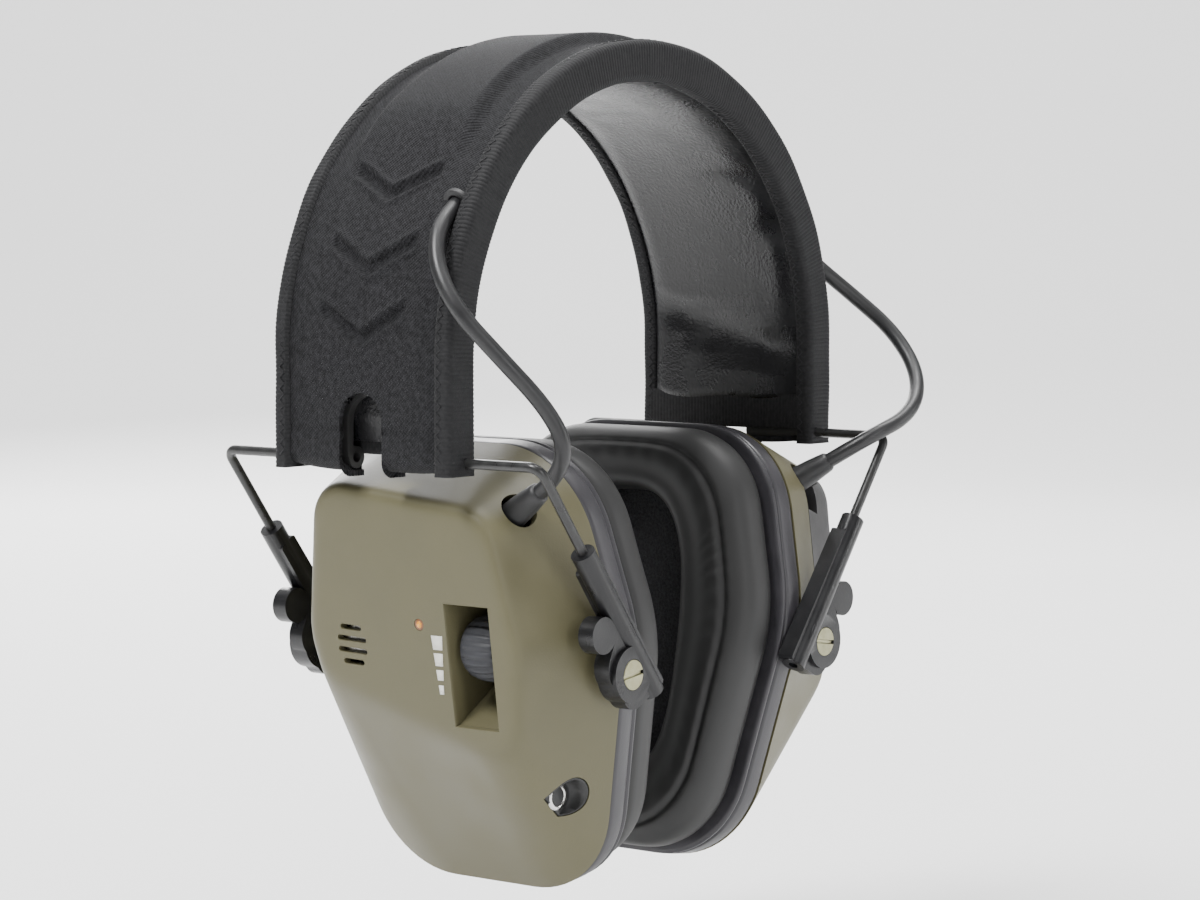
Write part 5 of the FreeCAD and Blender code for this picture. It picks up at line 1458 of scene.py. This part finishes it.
@dataclass
class Lead:
    """Flexible lead from the band to one cup, in two stretches."""

    side: Side
    cup: EarCup
    route: tuple[tuple[float, float, float], ...]
    boot_run: float
    diameter: float = 3.5 * MM
    split: float = 0.56

    def control_points(self) -> Array:
        """The route's points in the frame, from the band to the boot's tip."""
        head = np.array(self.route) * MM - [0, 0, SEAT]
        ends = [self.cup.boot_point(BOOT_LENGTH + self.boot_run * MM),
                self.cup.boot_point(BOOT_LENGTH)]
        return np.concatenate([head, ends])

    def centre_line(self) -> Array:
        """Points along the smooth curve that the route's points control."""
        points = self.control_points()
        curve = bpy.data.curves.new("route", "CURVE")
        curve.dimensions = "3D"
        spline = curve.splines.new("NURBS")
        spline.points.add(len(points) - 1)
        spline.points.foreach_set("co", np.c_[points, np.ones(len(points))].ravel())
        spline.order_u = 3
        spline.use_endpoint_u = True
        spline.resolution_u = 24
        thing = bpy.data.objects.new("route", curve)
        bpy.context.scene.collection.objects.link(thing)
        view = bpy.context.evaluated_depsgraph_get()
        mesh = bpy.data.meshes.new_from_object(thing.evaluated_get(view))
        line = np.zeros(len(mesh.vertices) * 3)
        mesh.vertices.foreach_get("co", line)
        bpy.data.objects.remove(thing)
        bpy.data.curves.remove(curve)
        bpy.data.meshes.remove(mesh)
        return line.reshape(-1, 3)

    def build(self) -> None:
        """Two tubes that meet end to end, and the eyelet in the cover."""
        line = self.centre_line()
        run = np.concatenate([[0], np.cumsum(np.linalg.norm(np.diff(line, axis=0), axis=1))])
        cut = int(np.searchsorted(run, run[-1] * self.split))
        word = self.side.word
        rings = tube_rings(line, self.diameter / 2, 24)
        stretches = (("upper", slice(0, cut + 1), "headband", word + "_wires"),
                     ("lower", slice(cut, None), word + "_wires", word + "_yoke"))
        for name, part, first, second in stretches:
            tube = outward(grid_object(f"{word}_lead_{name}", rings[part], True, caps=True))
            smooth_by_angle(tube, 50)
            CABLE.dress(tube)
            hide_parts(word + "_lead")
            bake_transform(tube)
        eyelet = softened(word + "_grommet", 0.3 * MM, 3)
        RUBBER.dress(eyelet)


# ---------------------------------------------------------------- studio


@dataclass
class Studio:
    """Pale floor, soft lights and the camera."""

    azimuth: float = -51.5
    elevation: float = 4.05
    distance: float = 0.784
    lens: float = 101.7
    aim_right: float = 7.8 * MM
    aim_up: float = 44.1 * MM
    floor: float = -0.212

    def axes(self) -> tuple[Vector, Vector, Vector]:
        """Right, up and back directions of the camera."""
        a, e = math.radians(self.azimuth), math.radians(self.elevation)
        right = Vector((math.cos(a), math.sin(a), 0))
        back = Vector((math.sin(a) * math.cos(e), -math.cos(a) * math.cos(e), math.sin(e)))
        return right, back.cross(right), back

    def build_camera(self) -> None:
        """Camera at the stated angle, aimed beside and above the cup pivots."""
        right, up, back = self.axes()
        target = right * self.aim_right + up * self.aim_up + Vector((0, 0, -SEAT))
        data = bpy.data.cameras.new("camera")
        data.lens = self.lens
        data.sensor_width = 36.0
        data.clip_start, data.clip_end = 0.01, 20.0
        thing = bpy.data.objects.new("camera", data)
        bpy.context.scene.collection.objects.link(thing)
        turn = Matrix((right, up, back)).transposed().to_4x4()
        thing.matrix_world = Matrix.Translation(target + back * self.distance) @ turn
        bpy.context.scene.camera = thing

    def build_floor(self) -> None:
        """Pale seamless floor that sweeps up into a wall far behind the object.

        Across the sweep the height is zero as far as the bend, then the bend's radius less its
        cosine share, then straight up.
        """
        turn = np.linspace(0, math.pi / 2, 25)
        bend, start, half = 1.2, 1.4, 8.0
        away = np.concatenate([[-4.0], start + bend * np.sin(turn), [start + bend]])
        height = np.concatenate([[0.0], bend * (1 - np.cos(turn)), [5.0]]) + self.floor
        right, _, back = self.axes()
        behind = -Vector((back.x, back.y, 0)).normalized()
        across = np.array([-half, half])[None, :, None]
        grid = (away[:, None, None] * np.array(behind) + across * np.array(right)
                + height[:, None, None] * np.array([0, 0, 1.0]))
        floor = grid_object("floor", grid, False)
        if floor.data.polygons[0].normal.z < 0:
            floor.data.flip_normals()
        Finish("studio_floor", (0.86, 0.86, 0.86), (0.88, 0.88, 0.88), 0.8, mottle_scale=2,
               relief=0.0).dress(floor)

    def light(self, name: str, place: Sequence[float], size: float, height: float, power: float,
              target: Sequence[float] = (0.0, 0.0, -0.09)) -> None:
        """One area light, aimed at the middle of the object unless told otherwise.

        Args:
            name: name of the light.
            place: its place in the frame.
            size: its width.
            height: its height.
            power: its power in watts.
            target: point that it faces.
        """
        data = bpy.data.lights.new(name, "AREA")
        data.shape = "RECTANGLE"
        data.size, data.size_y, data.energy = size, height, power
        thing = bpy.data.objects.new(name, data)
        bpy.context.scene.collection.objects.link(thing)
        aim = Vector(target) - Vector(place)
        thing.rotation_euler = aim.to_track_quat("-Z", "Y").to_euler()
        thing.location = place

    def build(self) -> None:
        """Set the stage."""
        self.build_camera()
        self.build_floor()
        world = bpy.data.worlds.new("studio")
        bpy.context.scene.world = world
        world.use_nodes = True
        world.node_tree.nodes["Background"].inputs["Color"].default_value = (1, 1, 1, 1)
        world.node_tree.nodes["Background"].inputs["Strength"].default_value = 0.38
        self.light("key", (-0.85, 0.15, 1.1), 0.5, 0.5, 30.0)
        self.light("front", (-0.5, -1.3, 0.35), 0.14, 0.9, 6.0)
        self.light("side", (0.75, -1.0, 0.1), 0.12, 0.9, 5.0)
        self.light("top", (0.2, -0.1, 1.1), 0.35, 0.35, 10.0)
        self.light("back", (0.9, 1.1, 0.5), 0.5, 0.9, 14.0)
        back = self.axes()[2]
        behind = -Vector((back.x, back.y, 0)).normalized()
        self.light("wash", behind * 0.5 + Vector((0, 0, 1.5)), 2.4, 0.8, 75.0,
                   behind * 2.3 + Vector((0, 0, 0.2)))


# ---------------------------------------------------------------- assembly


def main() -> None:
    """Build every sub-assembly in order."""
    Studio().build()
    cups = {Side.LEFT: ControlCup(Side.LEFT), Side.RIGHT: BatteryCup(Side.RIGHT)}
    routes = {
        Side.LEFT: ((-54.4, -18.6, 103.7), (-65.2, -19.0, 98.2), (-71.5, -22.5, 89.0),
                    (-73.0, -29.5, 79.0), (-67.5, -37.5, 68.5), (-60.8, -43.3, 59.0),
                    (-57.5, -46.5, 51.0)),
        Side.RIGHT: ((60.0, -18.6, 93.7), (70.2, -18.9, 87.5), (77.5, -25.5, 79.5),
                     (82.5, -35.5, 70.0), (80.0, -44.5, 59.5), (70.0, -49.0, 51.0)),
    }
    boot_runs = {Side.LEFT: 7.2, Side.RIGHT: 10.6}
    Headband().build()
    log.info("headband done")
    for side in Side:
        cups[side].build()
        Yoke(side).build()
        Lead(side, cups[side], routes[side], boot_runs[side]).build()
        log.info("%s side done", side.word)


if __name__ == "__main__":
    main()
